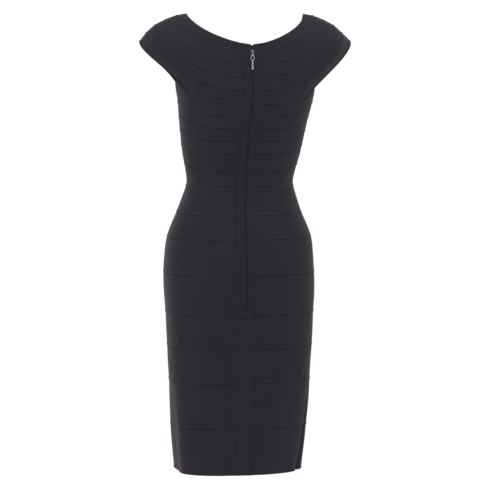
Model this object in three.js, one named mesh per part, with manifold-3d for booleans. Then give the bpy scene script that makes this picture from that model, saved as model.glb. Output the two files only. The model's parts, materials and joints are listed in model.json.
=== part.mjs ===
import * as THREE from "three";
import Module from "manifold-3d";
import { mergeVertices } from "three/addons/utils/BufferGeometryUtils.js";

// A knee length bodycon dress of knitted bands sewn edge to edge, filled out as if worn.
// Millimetres. X runs to the wearer's left, Y to the back, Z up.
// The origin lies midway between the shoulder tops, where the dress is held up.

// Driving sizes of the cloth
const WALL = 1.8;
const SEAM_GAP = 0.3;
const RIDGE = 1.0;
const RIDGE_HEIGHT = 5.5;

// Driving sizes of the centre back opening
const STRIP_EDGE = 19;
const STRIP_INNER = 2.5;
const TAPE_OUTER = 13;
const TAPE_THICK = 0.9;
const CHAIN_HALF = 2.2;
const BAND_END = STRIP_EDGE + SEAM_GAP / 2;
const STRIP_PROUD = 0.4;
const CHAIN_PROUD = 0.8;
const TAPE_TRIM = 1.5;
const TAPE_GAP = 0.5;
const CHAIN_TRIM = 3;

// The tack that closes the placket lies over the end of the zip
const TACK = { half: 11, above: 7, below: 6, thick: 1.1 };

// The body of the dress: half width, depth behind and before the side line, sideways sway,
// and how square the back and front of each level are (2 is an ellipse)
const LEVELS = [
  { height: -60, half: 148, back: 91, front: 76, sway: 0, squareBack: 2.5, squareFront: 2.3 },
  { height: -110, half: 148, back: 97, front: 95, sway: 0, squareBack: 2.5, squareFront: 2.3 },
  { height: -150, half: 147.3, back: 98, front: 106, sway: 0, squareBack: 2.6, squareFront: 2.3 },
  { height: -188, half: 141.4, back: 98, front: 114, sway: 0, squareBack: 2.5, squareFront: 2.3 },
  { height: -240, half: 133, back: 93, front: 115, sway: 4.5, squareBack: 2.4, squareFront: 2.3 },
  { height: -291, half: 125, back: 85, front: 101, sway: 8, squareBack: 2.3, squareFront: 2.3 },
  { height: -330, half: 116.3, back: 79, front: 89, sway: 10, squareBack: 2.3, squareFront: 2.3 },
  { height: -355, half: 112.5, back: 77, front: 85, sway: 11, squareBack: 2.3, squareFront: 2.3 },
  { height: -380, half: 118.5, back: 79, front: 86, sway: 11.8, squareBack: 2.4, squareFront: 2.3 },
  { height: -418, half: 132, back: 85, front: 90, sway: 13.3, squareBack: 2.5, squareFront: 2.3 },
  { height: -470, half: 152.5, back: 97, front: 96, sway: 13.6, squareBack: 2.6, squareFront: 2.3 },
  { height: -508, half: 157, back: 104, front: 99, sway: 14, squareBack: 2.7, squareFront: 2.4 },
  { height: -559, half: 159.5, back: 108, front: 101, sway: 13.8, squareBack: 2.8, squareFront: 2.4 },
  { height: -661, half: 155, back: 102, front: 100, sway: 12.8, squareBack: 2.9, squareFront: 2.5 },
  { height: -763, half: 150, back: 97, front: 98, sway: 12.8, squareBack: 2.9, squareFront: 2.6 },
  { height: -866, half: 145, back: 94, front: 95, sway: 15, squareBack: 2.8, squareFront: 2.6 },
  { height: -970, half: 136, back: 91, front: 91, sway: 17.5, squareBack: 2.7, squareFront: 2.5 },
];

// Seams that pass over both shoulders: height at centre back and front, where they cross the
// shoulder, how full their curve is behind and before it (2 is an ellipse), and how sharp its crest is
const YOKE_SEAMS = [
  { back: -71, front: -98, reach: 124, top: -1, full: 1.54, fullFront: 2.5, crest: 0.85 },
  { back: -91, front: -122, reach: 147, top: -5, full: 1.64, fullFront: 2, crest: 0.75 },
  { back: -115, front: -147, reach: 170, top: -14, full: 1.85, fullFront: 1.72, crest: 0.65 },
  { back: -141, front: -171.5, reach: 191, top: -25, full: 1.88, fullFront: 1.58, crest: 0.6 },
  { back: -168, front: -196, reach: 209, top: -41, full: 1.85, fullFront: 1.5, crest: 0.6 },
];

// The left shoulder hangs lower than the right, and more so towards its cap
const LEFT_DROP = 3.5;

// The armhole: where the cap leaves the body, as turns from centre back in degrees
const ARMPIT_BACK = 55;
const ARMPIT_FRONT = 127;

// Each cap's tip and the handles of its edge's curve: beside the tip and beside the armpit, behind and before
const LEFT_CAP = {
  tip: { x: 223.5, y: 0, z: -62 },
  tipBack: { x: 229.5, y: 38, z: -86 },
  tipFront: { x: 222, y: -38, z: -79 },
  armpitBack: { x: 165, y: 56, z: -123 },
  armpitFront: { x: 131, y: -66, z: -125 },
};
const RIGHT_CAP = {
  tip: { x: 226.5, y: 0, z: -57.3 },
  tipBack: { x: 231, y: 38, z: -80 },
  tipFront: { x: 227, y: -38, z: -72 },
  armpitBack: { x: 160, y: 56, z: -133 },
  armpitFront: { x: 136, y: -66, z: -130 },
};

// The left side of the underarm edge stands higher than the right
const LEFT_UNDERARM_LIFT = 9;

// Seams round the body, from the underarm edge to the hem: height at centre back, side and front
const BODY_SEAMS = [
  { band: "yoke_band_5", back: -193.6, side: -152, front: -220 },
  { band: "bodice_band_1", back: -217.3, side: -187, front: -243 },
  { band: "bodice_band_2", back: -244, side: -218, front: -267 },
  { band: "bodice_band_3", back: -269.7, side: -247.7, front: -290 },
  { band: "bodice_band_4", back: -296.2, side: -278, front: -313 },
  { band: "bodice_band_5", back: -333.7, side: -318.5, front: -346 },
  { band: "bodice_band_6", back: -373.5, side: -364.5, front: -381 },
  { band: "skirt_band_1", back: -423.6, side: -419.6, front: -427 },
  { band: "skirt_band_2", back: -473.2, side: -471, front: -475 },
  { band: "skirt_band_3", back: -546, side: -546, front: -547 },
  { band: "skirt_band_4", back: -629, side: -630, front: -630 },
  { band: "skirt_band_5", back: -700.5, side: -702, front: -702 },
  { band: "skirt_band_6", back: -772.5, side: -775, front: -775 },
  { band: "skirt_band_7", back: -867.5, side: -873, front: -872 },
  { band: "skirt_band_8", back: -967, side: -967, front: -969 },
];
const ZIP_END = 10;

// Lengthwise troughs of the skirt, which the narrow hem pulls in beside the flat back and front
const FOLDS = [
  { side: -1, turn: 78, lean: -18, spread: 5.5, depth: 7, from: -700, full: -860 },
  { side: 1, turn: 78, lean: 4, spread: 13, depth: 7, from: -740, full: -910 },
  { side: -1, turn: 118, lean: 5, spread: 10, depth: 5, from: -660, full: -820 },
  { side: 1, turn: 121, lean: 4, spread: 10, depth: 6, from: -650, full: -780 },
];
const FOLD_END = -970;

// Columns of each half: centre back to armpit, armpit to armpit, armpit to centre front
const BACK_COLUMNS = 7;
const SIDE_COLUMNS = 12;
const FRONT_COLUMNS = 7;
const HALF_COLUMNS = BACK_COLUMNS + SIDE_COLUMNS + FRONT_COLUMNS;
const CROWDING = { places: [0.3, 0.7], spread: 0.07, more: 0.9 };
const SETTLED_SEAM = 8;
const FINE_STEPS = 240;

// Zip slider: a shield shaped plate, narrower at its low end, with a small arch that holds the pull
const SLIDER = { height: -94.1, length: 16.5, top: 10.6, bottom: 7.6, corner: 3, plate: 1.5, lift: 0.35 };
const BRIDGE = { width: 2, bar: 1.2, opening: 1.75, reach: 10, bend: 1, toe: 1.2 };

// The pull, measured down from its pivot: a teardrop eye of two circles, a short neck and a tab
const PULL = { thick: 1.7, neck: 2.6, tabTop: 3.2, tabEnd: 4, neckEnd: 11.4, tabStart: 12.6, end: 29.7 };
const TAB_CORNER = 1.6;
const EYE = { top: { at: 2, radius: 3 }, low: { at: 6.9, radius: 4.4 } };
const EYE_HOLE = { top: { at: 2.8, radius: 1.7 }, low: { at: 6.9, radius: 2.7 } };
const PULL_TILT = 5;

const PLAIN_EDGES = { bevelEnabled: false, curveSegments: 8 };

const KNIT_COLOUR = 0x28262a;
const TAPE_COLOUR = 0x1c1b1e;
const METAL_COLOUR = 0xa9a8ab;

const radians = THREE.MathUtils.degToRad;

// A named column of a table sorted downwards, eased through its rows by a Hermite curve
function read(rows, column, height) {
  const last = rows.length - 1;
  if (height >= rows[0].height) return rows[0][column];
  if (height <= rows[last].height) return rows[last][column];
  let i = 0;
  while (rows[i + 1].height > height) i += 1;
  const slope = (a, b) => (rows[b][column] - rows[a][column]) / (rows[b].height - rows[a].height);
  const span = rows[i + 1].height - rows[i].height;
  const startSlope = i > 0 ? slope(i - 1, i + 1) : slope(i, i + 1);
  const endSlope = i + 1 < last ? slope(i, i + 2) : slope(i, i + 1);
  const t = (height - rows[i].height) / span;
  const start = rows[i][column] * (1 + 2 * t) * (1 - t) ** 2 + startSlope * span * t * (1 - t) ** 2;
  const end = rows[i + 1][column] * t * t * (3 - 2 * t) + endSlope * span * t * t * (t - 1);
  return start + end;
}

// How far the skirt's folds sink the cloth at a turn and height
function foldDepth(side, turn, height) {
  let depth = 0;
  for (const fold of FOLDS) {
    if (fold.side !== side || height > fold.from) continue;
    const down = (fold.from - height) / (fold.from - FOLD_END);
    const off = (turn - radians(fold.turn + fold.lean * down)) / radians(fold.spread);
    depth += fold.depth * THREE.MathUtils.smoothstep(-height, -fold.from, -fold.full) * Math.exp(-off * off);
  }
  return depth;
}

// A point of the body's outer face: turn is 0 at centre back and half a circle at centre front
function bodyPoint(side, turn, height) {
  const rear = turn < Math.PI / 2;
  const power = 2 / read(LEVELS, rear ? "squareBack" : "squareFront", height);
  const half = read(LEVELS, "half", height);
  const depth = rear ? read(LEVELS, "back", height) : -read(LEVELS, "front", height);
  const across = Math.max(Math.sin(turn), 0) ** power;
  const along = Math.abs(Math.cos(turn)) ** power;
  const sunk = foldDepth(side, turn, height);
  const reach = Math.hypot(half * across, depth * along);
  const shrink = 1 - sunk / reach;
  return new THREE.Vector3(
    read(LEVELS, "sway", height) + side * half * across * shrink,
    depth * along * shrink,
    height,
  );
}

// The turn at which a level stands the given distance from the centre back line
function turnAt(offset, half, square) {
  return Math.asin((offset / half) ** (square / 2));
}

// A line round the body whose height eases up towards the sides
function bodyLine(seam, leftLift = 0) {
  const height = (side, turn) => {
    const beside = seam.side + (side > 0 ? leftLift : 0);
    const middle = turn < Math.PI / 2 ? seam.back : seam.front;
    return middle + (beside - middle) * Math.sin(turn) ** 4;
  };
  return {
    at: (side, turn) => bodyPoint(side, turn, height(side, turn)),
    beside: (side, offset) => {
      const turn = turnAt(offset, read(LEVELS, "half", seam.back), read(LEVELS, "squareBack", seam.back));
      return bodyPoint(side, turn, height(side, turn));
    },
    start: turnAt(BAND_END, read(LEVELS, "half", seam.back), read(LEVELS, "squareBack", seam.back)),
  };
}

// A line over both shoulders
function yokeLine(seam) {
  const at = (side, turn) => {
    const rear = turn < Math.PI / 2;
    const power = 2 / (rear ? seam.full : seam.fullFront);
    const end = rear ? seam.back : seam.front;
    const depth = rear ? read(LEVELS, "back", end) : -read(LEVELS, "front", end);
    const drop = Math.abs(Math.cos(turn)) ** power;
    const outer = YOKE_SEAMS[YOKE_SEAMS.length - 1].reach;
    const lowered = side > 0 ? (LEFT_DROP * seam.reach) / outer : 0;
    const top = seam.top - lowered;
    return new THREE.Vector3(
      side * seam.reach * Math.max(Math.sin(turn), 0) ** power,
      depth * drop ** seam.crest,
      top + (end - top) * drop,
    );
  };
  return {
    at,
    beside: (side, offset) => at(side, turnAt(offset, seam.reach, seam.full)),
    start: turnAt(BAND_END, seam.reach, seam.full),
  };
}

// Points spread along a fine run of points by shares of its length
function spread(points, shares) {
  const lengths = [0];
  for (let i = 1; i < points.length; i += 1) {
    lengths.push(lengths[i - 1] + points[i].distanceTo(points[i - 1]));
  }
  const total = lengths[lengths.length - 1];
  let i = 1;
  return shares.map((share) => {
    const want = share * total;
    while (i < points.length - 1 && lengths[i] < want) i += 1;
    const t = (want - lengths[i - 1]) / (lengths[i] - lengths[i - 1]);
    return points[i - 1].clone().lerp(points[i], THREE.MathUtils.clamp(t, 0, 1));
  });
}

function trace(at, from, to, steps) {
  return Array.from({ length: steps + 1 }, (_, i) => at(from + ((to - from) * i) / steps));
}

const even = (count) => Array.from({ length: count + 1 }, (_, i) => i / count);

// Shares of a half round that crowd towards the corners, where the folds lie
function crowdedShares(count) {
  const near = (share, place) => CROWDING.more * Math.exp(-(((share - place) / CROWDING.spread) ** 2));
  const density = (share) => 1 + CROWDING.places.reduce((sum, place) => sum + near(share, place), 0);
  const sums = [0];
  for (let i = 0; i < FINE_STEPS; i += 1) sums.push(sums[i] + density((i + 0.5) / FINE_STEPS));
  const total = sums[FINE_STEPS];
  return even(count).map((share) => {
    let i = 1;
    while (i < FINE_STEPS && sums[i] < share * total) i += 1;
    return (i - 1 + (share * total - sums[i - 1]) / (sums[i] - sums[i - 1])) / FINE_STEPS;
  });
}

// Both halves of a round as one run of points, from the left of the opening to its right
function wholeRound(halfRun) {
  const left = halfRun(1);
  const right = halfRun(-1);
  return [...left, ...right.reverse().slice(1)];
}

function measure(points) {
  let length = 0;
  for (let i = 1; i < points.length; i += 1) length += points[i].distanceTo(points[i - 1]);
  return length;
}

// The underarm edge in its three stretches, and the cap edge that shares the first and last
const underarm = bodyLine(BODY_SEAMS[0], LEFT_UNDERARM_LIFT);

function stretches(side) {
  const marks = [underarm.start, radians(ARMPIT_BACK), radians(ARMPIT_FRONT), Math.PI];
  return [0, 1, 2].map((i) => trace((turn) => underarm.at(side, turn), marks[i], marks[i + 1], FINE_STEPS));
}

function capEdge(side) {
  const cap = side > 0 ? LEFT_CAP : RIGHT_CAP;
  const turned = (p) => new THREE.Vector3(side * p.x, p.y, p.z);
  const [back, , front] = stretches(side);
  const tip = turned(cap.tip);
  const rise = new THREE.CubicBezierCurve3(
    back[back.length - 1], turned(cap.armpitBack), turned(cap.tipBack), tip,
  );
  const fall = new THREE.CubicBezierCurve3(tip, turned(cap.tipFront), turned(cap.armpitFront), front[0]);
  return [...rise.getPoints(FINE_STEPS), ...fall.getPoints(FINE_STEPS).slice(1)];
}

function joined(back, middle, front) {
  return [
    ...spread(back, even(BACK_COLUMNS)),
    ...spread(middle, even(SIDE_COLUMNS)).slice(1),
    ...spread(front, even(FRONT_COLUMNS)).slice(1),
  ];
}

function sharesOf(points) {
  const total = measure(points);
  let run = 0;
  return points.map((p, i) => {
    if (i > 0) run += p.distanceTo(points[i - 1]);
    return run / total;
  });
}

const capRun = (side) => {
  const [back, , front] = stretches(side);
  return joined(back, capEdge(side), front);
};
const underarmRun = (side) => joined(...stretches(side));
const YOKE_SHARES = sharesOf(capRun(1));
const UNDERARM_SHARES = sharesOf(underarmRun(1));
const SKIRT_SHARES = crowdedShares(HALF_COLUMNS);

function mixSeams(a, b, t) {
  const mixed = {};
  for (const key of Object.keys(a)) {
    if (typeof a[key] === "number") mixed[key] = a[key] + (b[key] - a[key]) * t;
  }
  return mixed;
}

// A line's columns, both halves of it, by shares of its length
function roundOf(line, shares) {
  const half = (side) => trace((turn) => line.at(side, turn), line.start, Math.PI, FINE_STEPS);
  return wholeRound((side) => spread(half(side), shares));
}

// Rows of the wall. Each row keeps its columns and a way to reach points beside the opening.
function yokeRow(place) {
  const i = Math.min(Math.floor(place), YOKE_SEAMS.length - 2);
  const line = yokeLine(mixSeams(YOKE_SEAMS[i], YOKE_SEAMS[i + 1], place - i));
  return { columns: roundOf(line, YOKE_SHARES), beside: line.beside };
}

function blendRow(a, b, t) {
  return {
    columns: a.columns.map((p, i) => p.clone().lerp(b.columns[i], t)),
    beside: (side, offset) => a.beside(side, offset).lerp(b.beside(side, offset), t),
  };
}

function bodyRow(place) {
  const i = Math.min(Math.floor(place), BODY_SEAMS.length - 2);
  const seam = mixSeams(BODY_SEAMS[i], BODY_SEAMS[i + 1], place - i);
  const line = bodyLine(seam, LEFT_UNDERARM_LIFT * Math.max(1 - place, 0));
  const settled = THREE.MathUtils.smoothstep(place, 0, SETTLED_SEAM);
  const shares = UNDERARM_SHARES.map((share, j) => share + (SKIRT_SHARES[j] - share) * settled);
  return { columns: roundOf(line, shares), beside: line.beside };
}

const capRow = { columns: wholeRound(capRun), beside: underarm.beside };
const underarmRow = { columns: wholeRound(underarmRun), beside: underarm.beside };

// Outward directions of a grid of rows, one for each column
function outwards(rows) {
  return rows.map((row, r) =>
    row.columns.map((_, c) => {
      const above = rows[Math.max(r - 1, 0)].columns[c];
      const below = rows[Math.min(r + 1, rows.length - 1)].columns[c];
      const before = row.columns[Math.max(c - 1, 0)];
      const after = row.columns[Math.min(c + 1, row.columns.length - 1)];
      const along = after.clone().sub(before);
      const down = below.clone().sub(above);
      return along.cross(down).normalize();
    }),
  );
}

// Rows of one band: its seams, the start of its raised lower edge, and rows between on a deep band
function bandPlaces(width, deep) {
  const ridge = 1 - RIDGE_HEIGHT / width;
  return deep ? [0, ridge * 0.5, ridge, 1] : [0, ridge, 1];
}

const DEEP_BAND = 60;
const yokeGrid = [];
const bodyGrid = [];
const bands = [];

function addBands() {
  const lastSeam = YOKE_SEAMS.length - 1;
  for (let k = 0; k <= lastSeam; k += 1) {
    const below = k < lastSeam ? YOKE_SEAMS[k + 1].back : BODY_SEAMS[0].back;
    const places = bandPlaces(YOKE_SEAMS[k].back - below, false);
    const rows = places.slice(k > 0 ? 1 : 0).map((t) => {
      if (k < lastSeam) return yokeRow(k + t);
      return t < 1 ? blendRow(yokeRow(lastSeam), capRow, t) : capRow;
    });
    const first = k > 0 ? yokeGrid.length - 1 : 0;
    yokeGrid.push(...rows);
    bands.push({ name: "yoke_band_" + (k + 1), grid: "yoke", first, last: yokeGrid.length - 1 });
  }
  for (let k = 1; k < BODY_SEAMS.length; k += 1) {
    const width = BODY_SEAMS[k - 1].back - BODY_SEAMS[k].back;
    const places = bandPlaces(width, width > DEEP_BAND);
    const rows = places.slice(1).map((t) => bodyRow(k - 1 + t));
    if (k === 1) rows.unshift(underarmRow);
    const first = k > 1 ? bodyGrid.length - 1 : 0;
    bodyGrid.push(...rows);
    bands.push({ name: BODY_SEAMS[k].band, grid: "body", first, last: bodyGrid.length - 1 });
  }
}
addBands();

// Where the cap and the underarm edge are one seam they share one outward direction
const yokeOut = outwards(yokeGrid);
const bodyOut = outwards(bodyGrid);

function isShared(column) {
  const half = Math.min(column, 2 * HALF_COLUMNS - column);
  return half <= BACK_COLUMNS || half >= BACK_COLUMNS + SIDE_COLUMNS;
}

yokeOut[yokeGrid.length - 1].forEach((direction, c) => {
  if (!isShared(c)) return;
  const common = direction.clone().add(bodyOut[0][c]).normalize();
  direction.copy(common);
  bodyOut[0][c].copy(common);
});

// A closed solid through a run of closed sections, with a flat face on each end
function sectionSolid(sections) {
  const count = sections[0].length;
  const positions = sections.flat().flatMap((p) => [p.x, p.y, p.z]);
  const index = [];
  for (let s = 0; s + 1 < sections.length; s += 1) {
    for (let i = 0; i < count; i += 1) {
      const a = s * count + i;
      const b = s * count + ((i + 1) % count);
      index.push(a, b, b + count, a, b + count, a + count);
    }
  }
  const last = (sections.length - 1) * count;
  for (let i = 1; i + 1 < count; i += 1) {
    index.push(0, i + 1, i);
    index.push(last, last + i, last + i + 1);
  }
  const geometry = new THREE.BufferGeometry();
  geometry.setAttribute("position", new THREE.Float32BufferAttribute(positions, 3));
  geometry.setIndex(index);
  if (signedVolume(positions, index) < 0) geometry.setIndex(index.reverse());
  geometry.computeVertexNormals();
  return geometry;
}

function signedVolume(positions, index) {
  const corner = (i) => new THREE.Vector3().fromArray(positions, 3 * i);
  let volume = 0;
  for (let i = 0; i < index.length; i += 3) {
    volume += corner(index[i]).dot(corner(index[i + 1]).cross(corner(index[i + 2]))) / 6;
  }
  return volume;
}

const moved = (point, direction, distance) => point.clone().addScaledVector(direction, distance);

// Half a seam gap back from a seam, square to it and in the face of the cloth
function pullBack(grid, out, row, towards, column) {
  const line = grid[row].columns;
  const along = line[Math.min(column + 1, line.length - 1)].clone().sub(line[Math.max(column - 1, 0)]);
  const square = along.cross(out[row][column]);
  const inward = grid[towards].columns[column].clone().sub(line[column]);
  return square.setLength(Math.sign(square.dot(inward)) * SEAM_GAP / 2);
}

// The section of a band at one column: inner face up, then outer face down with its raised edge
function bandSection(grid, out, band, column) {
  const row = (r) => grid[r].columns[column];
  const place = (r, distance) => {
    const pulled = row(r).clone();
    if (r === band.first) pulled.add(pullBack(grid, out, r, r + 1, column));
    if (r === band.last) pulled.add(pullBack(grid, out, r, r - 1, column));
    return moved(pulled, out[r][column], distance);
  };
  const section = [place(band.last, -WALL)];
  if (band.last - band.first > 2) section.push(place(band.first + 1, -WALL));
  section.push(place(band.first, -WALL));
  for (let r = band.first; r < band.last; r += 1) section.push(place(r, 0));
  section.push(place(band.last, RIDGE));
  return section;
}

const knit = () => new THREE.MeshStandardMaterial({ color: KNIT_COLOUR, roughness: 0.85, metalness: 0 });
const tapeCloth = () => new THREE.MeshStandardMaterial({ color: TAPE_COLOUR, roughness: 0.8, metalness: 0 });
const metal = () => new THREE.MeshStandardMaterial({ color: METAL_COLOUR, roughness: 0.35, metalness: 1 });

const dress = new THREE.Group();

function add(name, geometry, material, parent = dress) {
  const mesh = new THREE.Mesh(geometry, material);
  mesh.name = name;
  parent.add(mesh);
  return mesh;
}

for (const band of bands) {
  const grid = band.grid === "yoke" ? yokeGrid : bodyGrid;
  const out = band.grid === "yoke" ? yokeOut : bodyOut;
  const sections = grid[0].columns.map((_, column) => bandSection(grid, out, band, column));
  add(band.name, sectionSolid(sections), knit());
}

// The centre back, as rows of points beside its line from the neck to the hem
const centreRows = [...yokeGrid.slice(0, -1), ...bodyGrid];

function centrePoint(row, offset) {
  const side = offset < 0 ? -1 : 1;
  return centreRows[row].beside(side, Math.max(Math.abs(offset), 0.01));
}

function centreOut(row, offset) {
  const above = centrePoint(Math.max(row - 1, 0), offset);
  const below = centrePoint(Math.min(row + 1, centreRows.length - 1), offset);
  const across = centrePoint(row, offset + 2).sub(centrePoint(row, offset - 2));
  return across.cross(below.sub(above)).normalize();
}

// A flat length of tape that follows the centre back between two offsets and two rows
function centreTape(from, to, { proud, floor = -WALL, rows, startTrim = 0, endTrim = 0 }) {
  const [firstRow, lastRow] = rows;
  const sections = [];
  for (let row = firstRow; row <= lastRow; row += 1) {
    const corner = (offset, distance) => {
      const point = centrePoint(row, offset);
      if (row === firstRow) point.add(centrePoint(row + 1, offset).sub(point).setLength(startTrim));
      if (row === lastRow) point.add(centrePoint(row - 1, offset).sub(point).setLength(endTrim));
      return moved(point, centreOut(row, offset), distance);
    };
    sections.push([corner(from, proud), corner(to, proud), corner(to, floor), corner(from, floor)]);
  }
  return sectionSolid(sections);
}

const zipEndRow = yokeGrid.length - 1 + bands.find((b) => b.name === BODY_SEAMS[ZIP_END].band).last;
const hemRow = centreRows.length - 1;
const half = SEAM_GAP / 2;

const toZipEnd = { rows: [0, zipEndRow], endTrim: half };
const STRIP = { proud: STRIP_PROUD, ...toZipEnd };
const tapeTop = -WALL - TAPE_GAP;
const TAPE = { proud: tapeTop, floor: tapeTop - TAPE_THICK, startTrim: TAPE_TRIM, ...toZipEnd };
const CHAIN = { proud: CHAIN_PROUD, startTrim: CHAIN_TRIM, ...toZipEnd };
const LOW_STRIP = { proud: STRIP_PROUD, rows: [zipEndRow, hemRow], startTrim: half };
add("placket_strip_left", centreTape(STRIP_INNER + half, STRIP_EDGE - half, STRIP), knit());
add("placket_strip_right", centreTape(half - STRIP_EDGE, -STRIP_INNER - half, STRIP), knit());
add("zip_tape_left", centreTape(half, TAPE_OUTER, TAPE), tapeCloth());
add("zip_tape_right", centreTape(-TAPE_OUTER, -half, TAPE), tapeCloth());
add("zip_chain", centreTape(-CHAIN_HALF, CHAIN_HALF, CHAIN), tapeCloth());
add("centre_back_strip", centreTape(half - STRIP_EDGE, STRIP_EDGE - half, LOW_STRIP), knit());

function tackGeometry() {
  const place = (offset, reach, lift) => {
    const up = centrePoint(zipEndRow - 1, offset).sub(centrePoint(zipEndRow, offset)).normalize();
    const down = centrePoint(zipEndRow + 1, offset).sub(centrePoint(zipEndRow, offset)).normalize();
    const point = moved(centrePoint(zipEndRow, offset), reach > 0 ? up : down, Math.abs(reach));
    return moved(point, centreOut(zipEndRow, offset), lift);
  };
  const floor = CHAIN_PROUD + SEAM_GAP;
  const sections = [TACK.above, 0, -TACK.below].map((reach) => [
    place(-TACK.half, reach, floor + TACK.thick),
    place(TACK.half, reach, floor + TACK.thick),
    place(TACK.half, reach, floor),
    place(-TACK.half, reach, floor),
  ]);
  return sectionSolid(sections);
}
add("placket_tack", tackGeometry(), knit());

// The slider's own frame: x across, y down the zip, z out, with the pull's pivot at its origin
function centreAtHeight(height) {
  let row = 0;
  while (centrePoint(row + 1, 0).z > height) row += 1;
  const above = centrePoint(row, 0);
  const below = centrePoint(row + 1, 0);
  const t = (above.z - height) / (above.z - below.z);
  return { point: above.clone().lerp(below, t), down: below.clone().sub(above).normalize() };
}

const sliderSeat = centreAtHeight(SLIDER.height);
const sliderOut = new THREE.Vector3(1, 0, 0).cross(sliderSeat.down).negate();
if (sliderOut.y < 0) sliderOut.negate();
const across = new THREE.Vector3().crossVectors(sliderSeat.down, sliderOut);
const plateTop = CHAIN_PROUD + SLIDER.lift + SLIDER.plate;
const pivotLift = plateTop + BRIDGE.opening;

const zipHardware = new THREE.Group();
zipHardware.matrixAutoUpdate = false;
zipHardware.matrix
  .makeBasis(across, sliderSeat.down, sliderOut)
  .setPosition(moved(sliderSeat.point, sliderOut, pivotLift));
dress.add(zipHardware);

const wasm = await Module();
wasm.setup();

function toSolid(geometry) {
  geometry.deleteAttribute("normal");
  geometry.deleteAttribute("uv");
  const merged = mergeVertices(geometry, 1e-4);
  const mesh = new wasm.Mesh({
    numProp: 3,
    vertProperties: merged.attributes.position.array,
    triVerts: new Uint32Array(merged.index.array),
  });
  return new wasm.Manifold(mesh);
}

function toGeometry(solid) {
  const mesh = solid.getMesh();
  const geometry = new THREE.BufferGeometry();
  geometry.setAttribute("position", new THREE.Float32BufferAttribute(mesh.vertProperties, 3));
  geometry.setIndex(new THREE.Uint32BufferAttribute(mesh.triVerts, 1));
  geometry.computeVertexNormals();
  return geometry;
}

// The outer plate is a shield, and a small arch over it carries the pull
function sliderGeometry() {
  const low = BRIDGE.opening + BRIDGE.bar;
  const lowEnd = low + BRIDGE.toe;
  const topEnd = lowEnd - SLIDER.length;
  const outline = new THREE.Shape();
  outline.moveTo(-SLIDER.bottom / 2, lowEnd);
  outline.lineTo(-SLIDER.top / 2, topEnd + SLIDER.corner);
  outline.quadraticCurveTo(-SLIDER.top / 2, topEnd, -SLIDER.top / 4, topEnd);
  outline.lineTo(SLIDER.top / 4, topEnd);
  outline.quadraticCurveTo(SLIDER.top / 2, topEnd, SLIDER.top / 2, topEnd + SLIDER.corner);
  outline.lineTo(SLIDER.bottom / 2, lowEnd);
  const plate = new THREE.ExtrudeGeometry(outline, { depth: SLIDER.plate, ...PLAIN_EDGES });
  plate.translate(0, 0, -BRIDGE.opening - SLIDER.plate);

  const arch = new THREE.Shape();
  const foot = -BRIDGE.opening - SLIDER.plate / 2;
  const crown = BRIDGE.opening + BRIDGE.bar;
  const lowBend = BRIDGE.opening - BRIDGE.bend / 2;
  arch.moveTo(low, foot);
  arch.lineTo(low, lowBend);
  arch.quadraticCurveTo(low, crown, lowBend, crown);
  arch.lineTo(-BRIDGE.reach + BRIDGE.bend, crown);
  arch.quadraticCurveTo(-BRIDGE.reach - BRIDGE.bar, crown, -BRIDGE.reach - BRIDGE.bar, foot);
  arch.lineTo(-BRIDGE.reach, foot);
  arch.quadraticCurveTo(-BRIDGE.reach, BRIDGE.opening, -BRIDGE.reach + BRIDGE.bend, BRIDGE.opening);
  arch.lineTo(BRIDGE.opening, BRIDGE.opening);
  arch.lineTo(BRIDGE.opening, foot);
  const bridge = new THREE.ExtrudeGeometry(arch, { depth: BRIDGE.width, ...PLAIN_EDGES });
  bridge.translate(0, 0, -BRIDGE.width / 2);
  bridge.applyMatrix4(
    new THREE.Matrix4().makeBasis(
      new THREE.Vector3(0, 1, 0), new THREE.Vector3(0, 0, 1), new THREE.Vector3(1, 0, 0),
    ),
  );
  return toGeometry(toSolid(plate).add(toSolid(bridge)));
}

// How far the straight sides between a teardrop's two circles lean in towards its top
function lean(drop) {
  return Math.asin((drop.low.radius - drop.top.radius) / (drop.low.at - drop.top.at));
}

// The pull: an eye whose upper rim passes under the arch, a short neck and a tab
function pullGeometry() {
  const turn = lean(EYE);
  const neckTurn = Math.asin(PULL.neck / 2 / EYE.low.radius);
  const shape = new THREE.Shape();
  shape.absarc(0, EYE.low.at, EYE.low.radius, Math.PI / 2 + neckTurn, Math.PI + turn, false);
  shape.absarc(0, EYE.top.at, EYE.top.radius, Math.PI + turn, Math.PI * 2 - turn, false);
  shape.absarc(0, EYE.low.at, EYE.low.radius, Math.PI * 2 - turn, Math.PI * 2.5 - neckTurn, false);
  shape.lineTo(PULL.neck / 2, PULL.neckEnd);
  shape.lineTo(PULL.tabTop / 2, PULL.tabStart);
  shape.lineTo(PULL.tabEnd / 2, PULL.end - TAB_CORNER);
  shape.quadraticCurveTo(PULL.tabEnd / 2, PULL.end, PULL.tabEnd / 2 - TAB_CORNER, PULL.end);
  shape.lineTo(TAB_CORNER - PULL.tabEnd / 2, PULL.end);
  shape.quadraticCurveTo(-PULL.tabEnd / 2, PULL.end, -PULL.tabEnd / 2, PULL.end - TAB_CORNER);
  shape.lineTo(-PULL.tabTop / 2, PULL.tabStart);
  shape.lineTo(-PULL.neck / 2, PULL.neckEnd);

  const holeTurn = lean(EYE_HOLE);
  const hole = new THREE.Path();
  hole.absarc(0, EYE_HOLE.low.at, EYE_HOLE.low.radius, -holeTurn, Math.PI + holeTurn, false);
  hole.absarc(0, EYE_HOLE.top.at, EYE_HOLE.top.radius, Math.PI + holeTurn, Math.PI * 2 - holeTurn, false);
  shape.holes.push(hole);
  const geometry = new THREE.ExtrudeGeometry(shape, { depth: PULL.thick, ...PLAIN_EDGES });
  geometry.translate(0, 0, -PULL.thick / 2);
  geometry.rotateX(-radians(PULL_TILT));
  return toGeometry(toSolid(geometry));
}

add("zip_slider", sliderGeometry(), metal(), zipHardware);
add("zip_pull", pullGeometry(), metal(), zipHardware);

export default dress;
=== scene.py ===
import json
import math

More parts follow.
